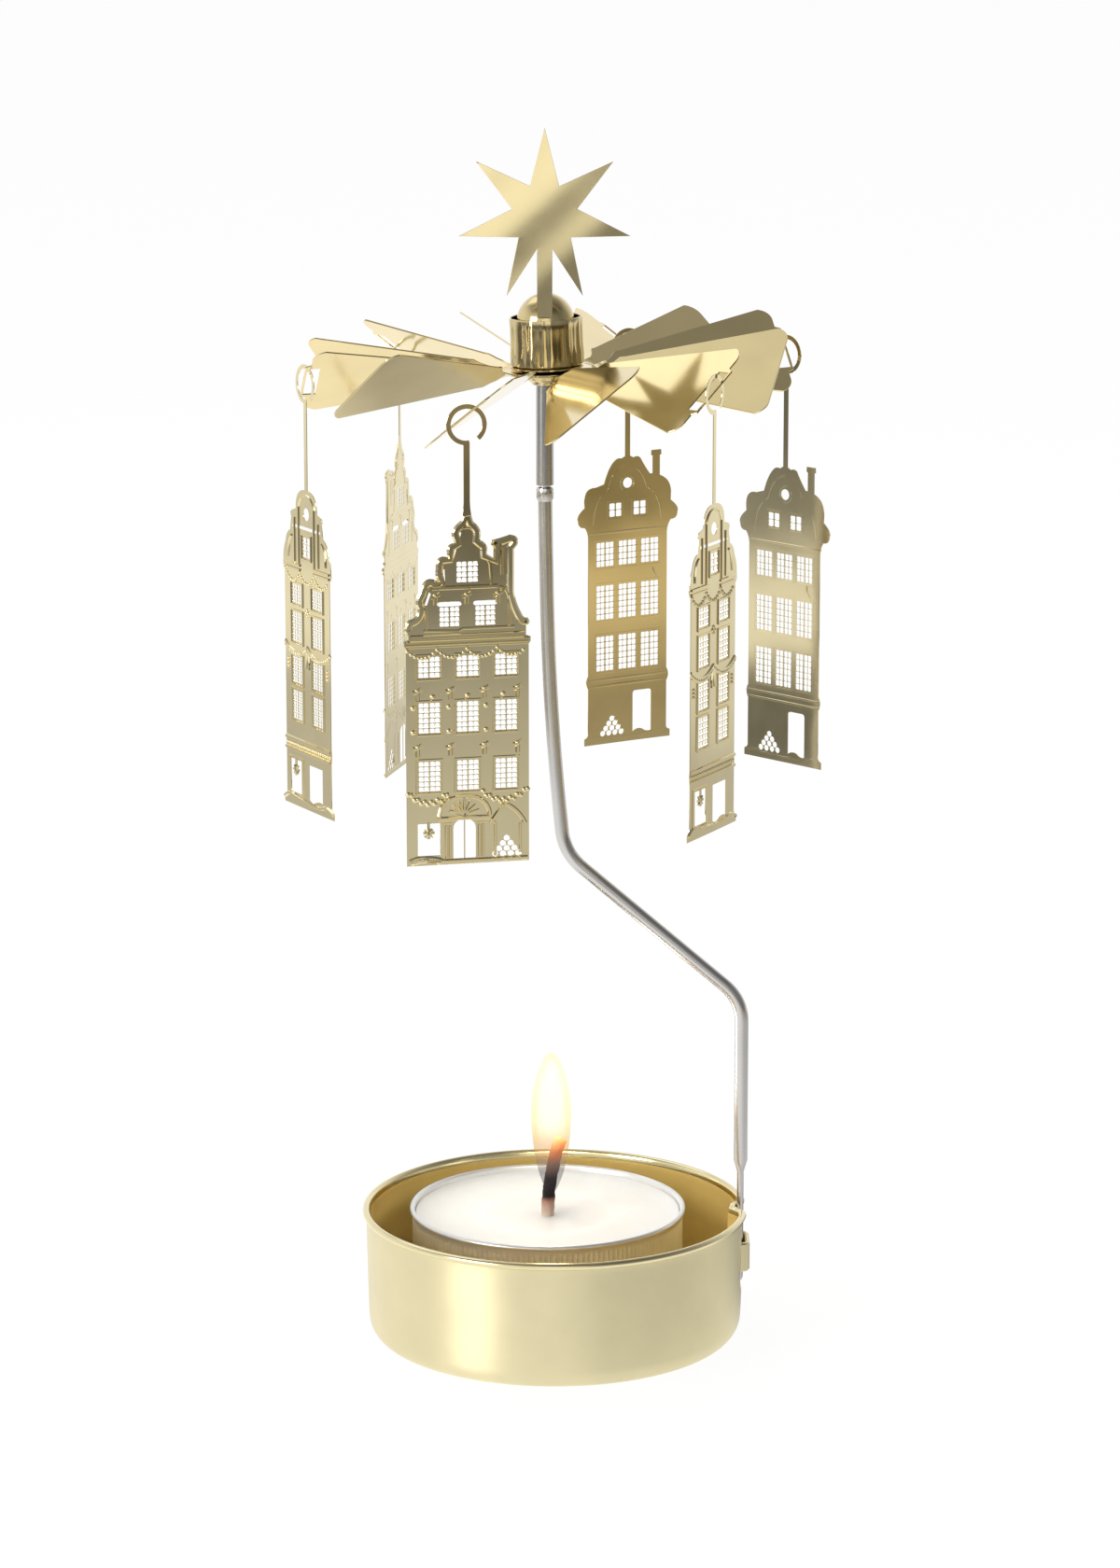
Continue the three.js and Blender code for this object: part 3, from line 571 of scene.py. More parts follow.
# Sleeve and needle. A steel tube slips over the rod's end and carries a needle, whose point
# bears the whole fan.
pivot_x = -1.3
tip_z = 144.05
sleeve_profile = [
    (0.9, 118.85), (1.12, 118.85), (1.18, 118.95), (1.18, 138.3), (1.1, 138.45), (0.9, 138.45), (0.9, 118.85),
]
sleeve = spun("needle_sleeve", sleeve_profile, 40)
settle(sleeve, (pivot_x, 0, 0))
sleeve_steel = metal("sleeve_steel", (0.56, 0.545, 0.525), 0.22, 0.04, 0.005, 0.001)
dress(sleeve, sleeve_steel, "stand", "steel", "pivot_sleeve")
needle_profile = [(0, 133.45), (0.74, 133.45), (0.74, 139.65), (0.7, 139.9), (0.1, 143.9), (0, tip_z)]
needle = spun("needle", needle_profile, 24)
settle(needle, (pivot_x, 0, 0))
dress(needle, rod_steel, "stand", "steel", "pivot_needle")

# Fan hub. A brass dome with a flange sits on the needle's point, a rolled collar stands round it,
# and an eyelet below clinches the fan wheel. Drawn from the needle's tip, then set down askew.
hub_spot = (pivot_x, 0, tip_z)
hub_lean = (0, -1.85, 0)
sheet_brass = metal("sheet_brass", (0.86, 0.71, 0.38), 0.10, 0.03, 0.03, 0.0006)
dome_profile = [
    (3.5, -9.37), (4.7, -9.37), (4.86, -9.3), (4.86, -9.1), (4.7, -9.02), (4.1, -9.0), (3.85, -8.8),
    (3.85, -3.25),
    *bow(0, -3.25, 3.85, 4, 90, 16),
    *bow(0, -3.25, 3.5, 90, 0, 14),
    (3.5, -9.37),
]
# The dome, collar and eyelet are the fan's sheet brass made darker. This is painted shade that stands in for
# the dark surroundings they mirror.
hub_brass_painted_shade = metal("hub_brass_painted_shade", (0.70, 0.57, 0.30), 0.10, 0.03, 0.03, 0.0006)
dome = spun("hub_dome_cap", dome_profile, 72)
settle(dome, hub_spot, hub_lean)
dress(dome, hub_brass_painted_shade, "rotor", "sheet_gold", "hub_dome")

collar_steps = 120
collar_seam = (88, 89)
collar_profile = [
    (4.56, -8.87), (4.7, -8.9), (4.86, -8.75), (4.88, -7.5), (4.8, -6), (4.8, -4), (4.86, -2.75),
    (4.82, -2.57), (4.6, -2.57), (4.56, -2.7), (4.52, -6), (4.56, -8.87),
]
collar = spun("hub_band", collar_profile, collar_steps)
mode("EDIT")
for i in range(collar_steps):
    angle = math.tau * i / collar_steps
    ripple = 0.05 * math.cos(7 * angle + 1) + 0.04 * math.cos(13 * angle) + 0.02 * math.cos(23 * angle + 2)
    if i in collar_seam:
        ripple += 0.12
    pick(collar, lambda x, y, z: math.cos(math.atan2(y, x) - angle) > 0.9998)
    bpy.ops.transform.translate(value=(ripple * math.cos(angle), ripple * math.sin(angle), 0))
mode("OBJECT")
settle(collar, hub_spot, hub_lean)
dress(collar, hub_brass_painted_shade, "rotor", "sheet_gold", "hub_collar")

eyelet_profile = [
    (1.83, -11.53), (2.1, -11.53), (2.35, -11.2), (3.0, -10.75), (3.12, -10.4), (3.12, -10.05), (2.2, -10.05),
    (2.2, -9.0), (2.0, -8.95), (1.83, -9.0), (1.83, -11.53),
]
eyelet = spun("hub_grommet", eyelet_profile, 48)
settle(eyelet, hub_spot, hub_lean)
dress(eyelet, hub_brass_painted_shade, "rotor", "sheet_gold", "hub_eyelet")

# Fan wheel. Stamped from thin polished brass: a disc with twelve blades, each twisted at its neck
# and bent a little its own way. Every second blade ends in a slot, whose outer strip carries a ring.
fan_sheet = 0.22
disc_half = 0.14
disc_hole = 2.4
fan_level = -9.7
disc_radius = 6.4
neck_end = 8.3
blade_reach = 32.1
blade_half = 7.9
blade_corner = 2.2
blade_twist = 36.5
strip_outside = 32.86
slot_from, slot_to = 30.84, 32.54
slot_half = 3.5
ear_half = 4.3
twist_steps = 8
blade_lifts = [-2.6, -1.1, 0, 0.9, 1.9, 0, -1.8, -1.1, 0.6, 0, 0.8, 3.5]
first_hook = -19

lower_side = [(5.3, -1.0), (neck_end, -1.0), (8.9, -1.5), (9.6, -2.5), (10.4, -2.6)]
lower_corner = bow(blade_reach - blade_corner, blade_corner - blade_half, blade_corner, -76, 0, 8)
ear_edge = [(blade_reach, -ear_half), (strip_outside, -ear_half + 0.4)]


def other_edge(points):
    """The same points on the other side of the blade's middle, walked backwards."""
    return [(x, -y) for x, y in reversed(points)]


def copied(pattern):
    """A copy of a piece, with a mesh of its own."""
    copy = pattern.copy()
    copy.data = pattern.data.copy()
    bpy.context.collection.objects.link(copy)
    return copy


plain_edge = lower_side + lower_corner
hook_edge = plain_edge + ear_edge
plain_outline = plain_edge + other_edge(plain_edge)
hook_outline = hook_edge + other_edge(hook_edge)
slot = [(slot_from, -slot_half), (slot_to, -slot_half), (slot_to, slot_half), (slot_from, slot_half)]


def twisted(name, outline, openings):
    """One blade: cut flat along X, then turned step by step along its neck."""
    blade = flat_sheet(name, outline, openings, fan_sheet, 0.04)
    mode("EDIT")
    for i in range(twist_steps + 1):
        station = disc_radius + (neck_end - disc_radius) * i / twist_steps
        bpy.ops.mesh.select_all(action="SELECT")
        bpy.ops.mesh.bisect(plane_co=(station, 0, 0), plane_no=(1, 0, 0))
    for i in range(1, twist_steps + 1):
        station = disc_radius + (neck_end - disc_radius) * (i - 0.5) / twist_steps
        pick(blade, lambda x, y, z: x > station)
        turn = -math.radians(blade_twist / twist_steps)
        bpy.ops.transform.rotate(value=turn, orient_axis="X", center_override=(0, 0, 0))
    mode("OBJECT")
    return blade


plain_blade = twisted("plain_blade", plain_outline, [])
hook_blade = twisted("hook_blade", hook_outline, [slot])
disc_profile = [
    (disc_hole, -disc_half), (disc_radius, -disc_half), (disc_radius, disc_half), (disc_hole, disc_half),
    (disc_hole, -disc_half),
]
fan = spun("fan", disc_profile, 96)
blades = []
for k, lift in enumerate(blade_lifts):
    blade = copied(plain_blade if k % 2 else hook_blade)
    take(blade)
    mode("EDIT")
    pick(blade, lambda x, y, z: x > disc_radius + 0.1)
    bpy.ops.transform.rotate(value=math.radians(lift), orient_axis="Y", center_override=(disc_radius, 0, 0))
    mode("OBJECT")
    blade.rotation_euler.z = math.radians(first_hook + 30 * k - 90)
    bpy.ops.object.transform_apply(rotation=True)
    blades.append(blade)
for pattern in (plain_blade, hook_blade):
    bpy.data.objects.remove(pattern)
fan = joined(fan, *blades)
bpy.ops.transform.translate(value=(0, 0, fan_level))
bpy.ops.object.transform_apply(location=True)
settle(fan, hub_spot, hub_lean)
dress(fan, sheet_brass, "rotor", "sheet_gold", "fan_wheel")

# Star. A flat seven-pointed star on a stem, cut from the same sheet. The stem is tucked between
# the dome and the collar, and the sheet is bowed a little.
star_points = 7
star_radius = 11.6
star_sheet = 0.28
star_inner = 4.4
star_level = 11.15
stem_half = 1.0
stem_low = -2.2
star_face = -4.15
star_bow = 0.036
star_wave = 8.5
star_round = 0.0028
star_slant = 42
star_lean = 3

star_tips = [star_radius if i % 2 == 0 else star_inner for i in range(star_points * 2)]
star_outline = []
for i, radius in enumerate(star_tips):
    angle = math.pi / 2 + math.pi * i / star_points
    if i == star_points:
        foot = star_level - math.sqrt(star_inner ** 2 - stem_half ** 2)
        star_outline += [(-stem_half, foot), (-stem_half, stem_low), (stem_half, stem_low), (stem_half, foot)]
    else:
        star_outline.append((radius * math.cos(angle), star_level + radius * math.sin(angle)))
star = flat_sheet("star", star_outline, [], star_sheet, 0.03)
mode("EDIT")
slant = math.radians(star_slant)
across_x, across_y = -math.sin(slant), math.cos(slant)
star_cuts = [i / 2 for i in range(-22, 23)]
for far in star_cuts:
    spot = (across_x * far, star_level + across_y * far, 0)
    bpy.ops.mesh.select_all(action="SELECT")
    bpy.ops.mesh.bisect(plane_co=spot, plane_no=(across_x, across_y, 0))
for far in star_cuts:
    pick(star, lambda x, y, z: abs(across_x * x + across_y * (y - star_level) - far) < 0.25)
    swell = star_bow * math.sin(math.tau * (far - 4) / star_wave) + star_round * far ** 2
    bpy.ops.transform.translate(value=(0, 0, -swell))
mode("OBJECT")
bpy.context.object.rotation_euler.x = math.radians(90 - star_lean)
bpy.ops.object.transform_apply(rotation=True)
settle(star, (pivot_x, star_face, tip_z))
star_brass = metal("star_brass", (0.88, 0.74, 0.41), 0.16, 0.03, 0.03, 0.0006)
dress(star, star_brass, "rotor", "sheet_gold", "star_topper")

# Townhouses. Six flat houses stamped and embossed in polished brass sheet: two each of a merchant's
# house, a narrow house and a bell-gabled house. An open ring on a long stem hooks each to the fan.
house_sheet = 0.1
ring_outer, ring_inner = 2.65, 2.05
ring_stem = 0.42
rib_fine, rib_bold, rib_roll = 0.2, 0.3, 0.5
rib_height = 0.3
stud_small, stud_large = 0.28, 0.38


def flipped(steps):
    """The same drawing, mirrored left to right and walked from its end to its start."""
    turned = []
    for i, (x, y, *_) in enumerate(steps):
        after = steps[i + 1][2:] if i + 1 < len(steps) else ()
        turned.append((-x, y, *([-after[0], after[1]] if after else ())))
    return turned[::-1]


def rounded(left, right, low, high, radius):
    """A rectangle with rounded corners."""
    corners = [(right - radius, high - radius), (left + radius, high - radius),
               (left + radius, low + radius), (right - radius, low + radius)]
    return [spot for i, (x, y) in enumerate(corners) for spot in bow(x, y, radius, 90 * i, 90 * i + 90, 2)]


def panes(left, right, low, high, columns, rows):
    """The rounded panes of one window, with thin bars between them and a stouter one up the middle."""
    bar, middle = 0.065, 0.14
    wide = (right - left - middle) / columns
    tall = (high - low) / rows
    loops = []
    for i in range(columns):
        x = left + wide * i + (middle if i >= columns / 2 else 0)
        for j in range(rows):
            y = low + tall * j
            loops.append(rounded(x + bar / 2, x + wide - bar / 2, y + bar / 2, y + tall - bar / 2, 0.14))
    return loops


def windows(columns, rows):
    """The panes of a wall's windows, from columns (left, right) and rows (low, high, panes)."""
    return [
        loop for left, right in columns for low, high, count in rows
        for loop in panes(left, right, low, high, 4, count)
    ]


def pyramid(x, low):
    """Ten round holes stacked up."""
    rows = [(row, i - (3 - row) / 2) for row in range(4) for i in range(4 - row)]
    return [bow(x + 1.02 * i, low + 0.68 * row, 0.4, 0, 330, 11) for row, i in rows]


def ringed(left, right, hang):
    """A house's outline with its stem and open ring. hang is the ring's height above the lower edge."""
    return [
        *walk(left), *bow(0, hang, ring_outer, 261, -50, 40),
        *bow(0, hang, ring_inner, -50, 280, 40), (ring_stem, hang - 2.4), *walk(right),
    ]


def pressed(lines, radius):
    """Embossed lines on the front of a sheet: low round ribs."""
    ribs = []
    for line in lines:
        rib = wire("rib", [(x, y, 0) for x, y in line], radius, 1)
        rib.scale.z = min(1, rib_height / radius)
        rib.location.z = house_sheet / 2
        bpy.ops.object.transform_apply(location=True, scale=True)
        ribs.append(rib)
    return ribs


def inset(points, gap):
    """The same line, moved to its right by the gap."""
    moved = []
    for before, point, after in zip([points[0], *points], points, [*points[1:], points[-1]]):
        dx, dy = after[0] - before[0], after[1] - before[1]
        far = math.hypot(dx, dy)
        moved.append((point[0] + gap * dy / far, point[1] - gap * dx / far))
    return moved


def studs(spots, radius):
    """Embossed dots on the front of a sheet, one modelled and the others copied from it."""
    bpy.ops.object.select_all(action="DESELECT")
    bpy.ops.mesh.primitive_ico_sphere_add(subdivisions=2, radius=radius, location=(0, 0, 0))
    pattern = bpy.context.object
    pattern.scale.z = 0.8
    bpy.ops.object.transform_apply(scale=True)
    made = []
    for x, y in spots:
        stud = copied(pattern)
        stud.location = (x, y, house_sheet / 2)
        made.append(stud)
    bpy.data.objects.remove(pattern)
    return made


def swag(x0, y0, x1, y1, drop, count):
    """Points of a hanging garland between two pins."""
    shares = [i / (count - 1) for i in range(count)]
    return [(x0 + (x1 - x0) * t, y0 + (y1 - y0) * t - 4 * drop * t * (1 - t)) for t in shares]


def frame_of(left, right, low, high, gap=0.28):
    """A closed line round a window."""
    left, right, low, high = left - gap, right + gap, low - gap, high + gap
    return [(left, low), (right, low), (right, high), (left, high), (left, low)]


def frames(columns, rows, gap):
    """The lines round a wall's windows."""
    return [frame_of(left, right, low, high, gap) for left, right in columns for low, high, _ in rows]


def little_star(x, y, radius):
    """The lines of an eight-pointed star of rays."""
    ends = bow(x, y, radius, 0, 315, 7)
    return [[(x, y), end] for end in ends]


merchant_hang = 57.5
merchant_left = [
    (-8.1, 0), (-8.1, 28.8), (-8.35, 29.1), (-8.35, 29.7), (-7.75, 29.9), (-7.75, 30.5),
    (-8.15, 31.7, -8.6, 30.8), (-7.3, 32.6, -8.0, 32.5), (-6.5, 33.9, -6.5, 32.9), (-6.3, 36.0, -7.1, 34.8),
    (-5.0, 37.75, -5.9, 37.6), (-3.8, 37.35, -4.3, 37.75), (-4.1, 39.0, -4.3, 38.0), (-3.2, 40.6, -4.2, 40.5),
    (-2.5, 40.5), (-1.6, 42.3, -3.1, 42.2), (-1.45, 44.6, -2.5, 43.6), (-0.9, 45.1),
    (-ring_stem, 47.6, -0.45, 46.0),
]
merchant_right = [
    (ring_stem, 47.6), (0.8, 45.0, 0.45, 46.2), (1.65, 42.6, 2.2, 44.0), (2.6, 40.7, 3.0, 42.0), (3.45, 40.0),
    (3.45, 41.6), (3.3, 42.5, 2.9, 42.0), (5.6, 43.1, 4.4, 42.7), (6.6, 41.7, 7.1, 42.9), (6.17, 41.3),
    (6.17, 35.7), (7.4, 32.3, 6.4, 34.0), (7.75, 31.2, 8.8, 31.7), (7.75, 29.9), (8.35, 29.7), (8.35, 29.1),
    (8.1, 28.8), (8.1, 0),
]
merchant_columns = [(-6.5, -3.65), (-1.425, 1.425), (3.65, 6.5)]
merchant_rows = [(24.8, 27.6, 4), (17.5, 21.55, 6), (9.8, 13.8, 6)]
merchant_openings = windows(merchant_columns, merchant_rows) + panes(-1.4, 1.4, 37.1, 39.85, 4, 4)
for left, right in [(-3.65, -1.05), (1.05, 3.65)]:
    merchant_openings += panes(left, right, 31.4, 34.0, 4, 4)
    merchant_openings.append(rounded(left - 0.25, right + 0.25, 34.05, 34.65, 0.28))
merchant_openings.append(rounded(-6.65, -3.7, 1.3, 5.55, 0.1))
merchant_openings += [
    walk([(-1.955, 0.75), (-0.565, 0.75), (-0.565, 5.9), (-1.955, 4.6, -1.955, 5.9)]),
    walk([(-0.385, 0.75), (1.005, 0.75), (1.005, 4.6), (-0.385, 5.9, 1.005, 5.9)]),
    *pyramid(5.1, 1.1),
    walk([(-5.6, 34.3), (-5.3, 34.3), (-4.75, 35.8), (-5.0, 36.0)]),
    walk([(-3.1, 37.4), (-2.9, 37.4), (-2.95, 38.9), (-3.15, 38.9)]),
    walk([(-2.1, 40.1), (-1.85, 40.0), (-1.25, 41.9), (-1.5, 42.0)]),
    walk([(-1.35, 42.6), (-1.05, 42.5), (-0.75, 43.6), (-1.05, 43.7)]),
]
merchant_rolls = [inset([spot for spot in walk(side) if spot[1] < 46], 0.5)
                  for side in (merchant_left[5:], merchant_right[:13])]
merchant_rolls.append(walk([(-7.6, 0.5), (-3.6, 0.45, -5.4, 1.1)]))
merchant_lines = [
    [(-8.1, 28.9), (8.1, 28.9)],
    walk([(-5.7, 31.0), (-1.2, 30.8), (-0.6, 31.1), (6.2, 31.1)]),
    [(-5.35, 31.1), (-5.45, 34.0)],
    [(-3.2, 36.6), (-3.3, 38.1)], [(-2.6, 40.4), (-2.1, 40.6)], walk([(-1.5, 43.9), (1.2, 43.9, 0, 44.6)]),
    [(1.2, 43.4), (2.3, 41.0), (3.0, 39.4), (3.2, 36.7)], [(4.55, 41.4), (4.55, 37.9)],
    walk([(4.2, 36.4), (5.5, 34.0, 5.6, 36.2), (5.6, 31.2)]),
    [(-2.9, 0.9), (-2.9, 5.2)], [(-2.4, 0.9), (-2.4, 5.2)], [(1.45, 0.9), (1.45, 5.2)],
    [(1.95, 0.9), (1.95, 5.2)],
    [(-3.2, 5.35), (-2.15, 5.35)], [(1.2, 5.35), (2.25, 5.35)],
    [(3.6, 5.4), (3.6, 0.9)], [(6.9, 5.0), (6.9, 1.2)],
]
merchant_lines += [[(-0.475, 6.5), (x, y)] for x, y in bow(-0.475, 6.4, 2.1, 20, 160, 6)]
merchant_bold = [
    walk([(-4.0, 6.1), (3.0, 6.1)]), walk([(-3.8, 6.3), (-0.475, 9.0, -3.6, 9.0), (2.9, 6.3, 2.7, 9.0)]),
    walk([(3.0, 5.2), (5.0, 7.7, 4.4, 7.4), (7.6, 5.0, 6.6, 7.0)]), [(-7.5, 30.2), (7.5, 30.2)],
    [(-8.1, 29.45), (8.1, 29.45)], [(-4.6, 36.5), (4.0, 36.5)],
    walk([(-7.8, 0.5), (-5.6, 0.9, -6.8, 1.2), (-2.4, 0.45, -4.0, 0.4), (3.2, 0.4), (7.9, 0.4)]),
]
irons = [(x, z) for z in (15.5, 22.9) for x in (-6.6, -2.3, 2.2, 6.6)]
irons += [(x, 35.3) for x in (-4.2, -0.1, 4.0)]
merchant_bold += [[(x - 0.6, z), (x, z + 0.15), (x + 0.6, z + 0.5)] for x, z in irons]
merchant_bold += [[(x, z + 0.5), (x, z - 1.0)] for x, z in irons]
merchant_lines += frames(merchant_columns, merchant_rows, 0.22)
merchant_lines += little_star(-5.2, 4.3, 0.75) + [[(-5.2, 4.3), (-5.2, 5.7)]]
merchant_studs = [
    spot for i in range(4) for spot in swag(-7.9 + 3.95 * i, 28.4, -3.95 + 3.95 * i, 28.4, 1.0, 9)[:-1]
]
merchant_rope = swag(-7.9, 9.7, -2.7, 9.4, 1.3, 13) + swag(2.0, 9.4, 7.9, 9.7, 1.3, 14)
merchant_rope = [(x, y + (0.16 if i % 2 else -0.16)) for i, (x, y) in enumerate(merchant_rope)]
merchant_rope += [(x, z) for z in (17.7, 20.9) for x in (-7.2, -2.5, 2.4)]
merchant_rope += [(x, 22.3) for x in (-4.6, 0, 4.7)] + [(x, z + 0.2) for x, z in irons]

narrow_hang = 57.8
narrow_right = [
    (ring_stem, 43.6), (3.0, 41.5, 2.7, 43.5), (3.0, 40.8), (4.0, 40.5), (4.4, 39.5, 4.9, 40.3), (4.75, 37.7),
    (6.2, 35.9, 5.9, 37.3), (6.9, 33.4, 6.9, 34.9), (6.5, 32.2, 7.1, 32.4), (6.5, 9.4), (6.6, 8.8),
    (6.6, 8.0), (6.5, 7.6), (6.5, 1.7), (7.2, 0.9, 6.6, 1.0), (7.2, 0),
]
narrow_columns = [(-4.3, -1.55), (1.55, 4.3)]
narrow_rows = [(27.9, 30.45, 3), (22.65, 26.65, 5), (17.0, 21.0, 5), (12.0, 15.95, 5)]
narrow_openings = windows(narrow_columns, narrow_rows) + panes(-1.05, 1.05, 34.5, 37.2, 2, 3)
narrow_openings += [
    rounded(-4.0, 4.0, 38.2, 38.6, 0.15),
    [(0.8 * x, 40.35 + 0.85 * y) for x, y in bow(0, 0, 1, 0, 345, 23)],
    rounded(-5.2, -2.0, 1.8, 6.35, 0.1),
    walk([(0.1, 1.5), (1.6, 1.3, 0.9, 1.0), (3.95, 1.6, 2.8, 2.0), (3.95, 6.3), (0.1, 6.3)]),
]
narrow_lines = frames(narrow_columns, narrow_rows, 0.28)
narrow_lines += [
    [(-6.4, 32.6), (-1.9, 32.6)], [(1.9, 32.6), (6.4, 32.6)], [(-6.4, 33.2), (-1.9, 33.2)],
    [(1.9, 33.2), (6.4, 33.2)], [(-2.2, 33.4), (-2.2, 41.2)], [(2.2, 33.4), (2.2, 41.2)],
    [(-3.4, 33.6), (-3.4, 39.6)], [(3.4, 33.6), (3.4, 39.6)],
    walk([(-2.2, 41.2), (0, 42.9, -1.8, 42.8), (2.2, 41.2, 1.8, 42.8)]),
    walk([(-5.4, 34.0), (-4.3, 37.0, -5.4, 36.6)]), walk([(5.4, 34.0), (4.3, 37.0, 5.4, 36.6)]),
    frame_of(-1.05, 1.05, 34.5, 37.2, 0.3), frame_of(-5.2, -2.0, 1.8, 6.35, 0.3),
    swag(-6.4, 22.4, 0, 22.4, 1.2, 9), swag(0, 22.4, 6.4, 22.4, 1.2, 9), swag(-6.4, 21.9, 0, 21.9, 1.2, 9),
    swag(0, 21.9, 6.4, 21.9, 1.2, 9),
    walk([(0, 22.3), (-0.5, 19.4, -0.5, 21.0)]), walk([(0, 22.3), (0.5, 19.4, 0.5, 21.0)]),
]
narrow_bold = [
    [(-6.4, 9.2), (6.4, 9.2)], [(-6.4, 7.8), (6.4, 7.8)],
    walk([(-7.0, 0.8), (-4.0, 1.3, -5.6, 1.9), (0, 0.9), (3.6, 1.0), (7.0, 0.8, 5.2, 1.7)]),
]
narrow_lines += little_star(-3.6, 5.0, 0.75) + [[(-3.6, 5.0), (-3.6, 6.5)]]
narrow_studs = [
    spot for i in range(3) for spot in swag(-6.2 + 4.13 * i, 32.2, -2.07 + 4.13 * i, 32.2, 1.3, 9)[:-1]
]
narrow_studs += swag(-6.4, 22.15, 0, 22.15, 1.2, 12) + swag(0, 22.15, 6.4, 22.15, 1.2, 12)
narrow_studs += [(-6.0 + 0.6 * i, 8.5) for i in range(21)] + [(-0.3, 27.0), (0.3, 27.0), (0, 27.4), (0, 26.6)]
narrow_studs += [(x, z) for x in (-5.6, 5.6) for z in (19.0, 19.5, 20.0)]

bell_hang = 56.1
bell_ear = [
    (7.1, 34.0), (8.2, 32.2, 8.6, 32.9), (7.1, 31.2, 8.2, 31.2), (6.5, 29.6, 6.6, 30.6),
    (6.5, 10.0), (6.5, 8.1, 7.1, 9.1), (6.5, 1.5), (7.1, 1.0, 6.6, 1.1), (7.1, 0),
]
bell_right = [
    (ring_stem, 40.8), (1.0, 40.5), (2.1, 40.3, 1.6, 40.7), (3.9, 37.1, 3.2, 39.4), (5.2, 36.75),
    (7.15, 35.0, 7.1, 36.9), *bell_ear,
]
bell_chimney = [
    (ring_stem, 40.8), (1.0, 40.5), (2.1, 40.4, 1.6, 40.8), (3.7, 38.0, 2.9, 39.0), (4.1, 38.0), (4.1, 40.5),
    (3.85, 40.6), (3.9, 41.3), (5.5, 41.3), (5.55, 40.6), (5.3, 40.5), (5.3, 37.7), (7.15, 35.2, 7.1, 37.0),
    *bell_ear,
]
bell_columns = [(-5.1, -2.27), (-1.415, 1.415), (2.27, 5.1)]
bell_rows = [(25.4, 28.9, 4), (17.85, 22.75, 6), (10.5, 15.5, 6)]
bell_openings = windows(bell_columns, bell_rows)
for left, right in [(-3.0, -1.0), (1.0, 3.0)]:
    bell_openings += panes(left, right, 32.35, 34.3, 2, 2)
bell_openings.append(bow(0, 37.0, 0.73, 0, 345, 23))
bell_openings.append(walk([
    (-3.95, 1.2), (-2.6, 1.5, -3.2, 1.0), (-0.95, 1.3, -1.8, 1.9), (-0.95, 6.7), (-1.45, 7.2, -0.95, 7.2),
    (-3.45, 7.2), (-3.95, 6.7, -3.95, 7.2),
]))
bell_openings += pyramid(2.5, 1.5)
bell_lines = frames(bell_columns, bell_rows, 0.28)
bell_lines += [
    [(-6.5, 30.2), (6.5, 30.2)], [(-6.5, 9.3), (6.5, 9.3)], [(-6.5, 8.4), (6.5, 8.4)],
    walk([(-5.6, 31.4), (-3.2, 36.2, -5.4, 35.2), (0, 39.6, -2.4, 39.2)]),
    walk([(5.6, 31.4), (3.2, 36.2, 5.4, 35.2), (0, 39.6, 2.4, 39.2)]),
    frame_of(-3.0, -1.0, 32.35, 34.3), frame_of(1.0, 3.0, 32.35, 34.3), bow(0, 37.0, 1.1, 0, 360, 24),
    walk([(-6.9, 0.7), (-4.2, 0.9, -5.4, 1.5), (0, 0.7), (3.8, 0.8), (6.9, 0.7, 5.4, 1.4)]),
]

house_brass = metal("house_brass", (0.86, 0.75, 0.46), 0.08, 0.03, 0.04, 0.0005)
designs = {
    "merchant": (
        ringed(merchant_left, merchant_right, merchant_hang), merchant_openings,
        [(rib_fine, merchant_lines), (rib_bold, merchant_bold), (rib_roll, merchant_rolls)],
        [(stud_small, merchant_studs), (stud_large, merchant_rope)],
    ),
    "narrow": (
        ringed(flipped(narrow_right), narrow_right, narrow_hang), narrow_openings,
        [(rib_fine, narrow_lines), (rib_bold, narrow_bold)], [(stud_small, narrow_studs)],
    ),
    "bell": (
        ringed(flipped(bell_chimney), bell_right, bell_hang), bell_openings,
        [(rib_fine, bell_lines)], [],
    ),
}
hangs = {"merchant": merchant_hang, "narrow": narrow_hang, "bell": bell_hang}
patterns = {}
for design, (outline, openings, ribs, dots) in designs.items():
    plate = flat_sheet(design, outline, openings, house_sheet, 0.025)
    mode("EDIT")
    for i in range(-7, 8):
        bpy.ops.mesh.select_all(action="SELECT")
        bpy.ops.mesh.bisect(plane_co=(i + 0.03, 0, 0), plane_no=(1, 0, 0))
    mode("OBJECT")
    raised = [rib for radius, lines in ribs for rib in pressed(lines, radius)]
    raised += [stud for radius, spots in dots for stud in studs(spots, radius)]
    relief = joined(*raised)
    behind = -house_sheet / 2 - 0.02
    mode("EDIT")
    pick(relief, lambda x, y, z: z < behind)
    bpy.ops.transform.resize(value=(1, 1, 0), center_override=(0, 0, behind))
    mode("OBJECT")
    patterns[design] = joined(plate, relief)
    patterns[design].rotation_euler.x = math.radians(90)
    bpy.ops.object.transform_apply(rotation=True)

hook_reach = (strip_outside + slot_to) / 2


def hook_spot(k, along):
    """A spot on a hook blade's strip, after the blade's own bend and the wheel's lean. along is how far
    it lies from the strip's middle."""
    angle, lean = math.radians(first_hook + 30 * k), math.radians(hub_lean[1])
    level_along = along * math.cos(math.radians(blade_twist))
    x = hook_reach * math.sin(angle) + level_along * math.cos(angle)
    y = level_along * math.sin(angle) - hook_reach * math.cos(angle)
    z = fan_level + (hook_reach - disc_radius) * math.tan(math.radians(blade_lifts[k]))
    z += along * math.sin(math.radians(blade_twist))
    return (
        pivot_x + x * math.cos(lean) + z * math.sin(lean), y,
        tip_z - x * math.sin(lean) + z * math.cos(lean),
    )


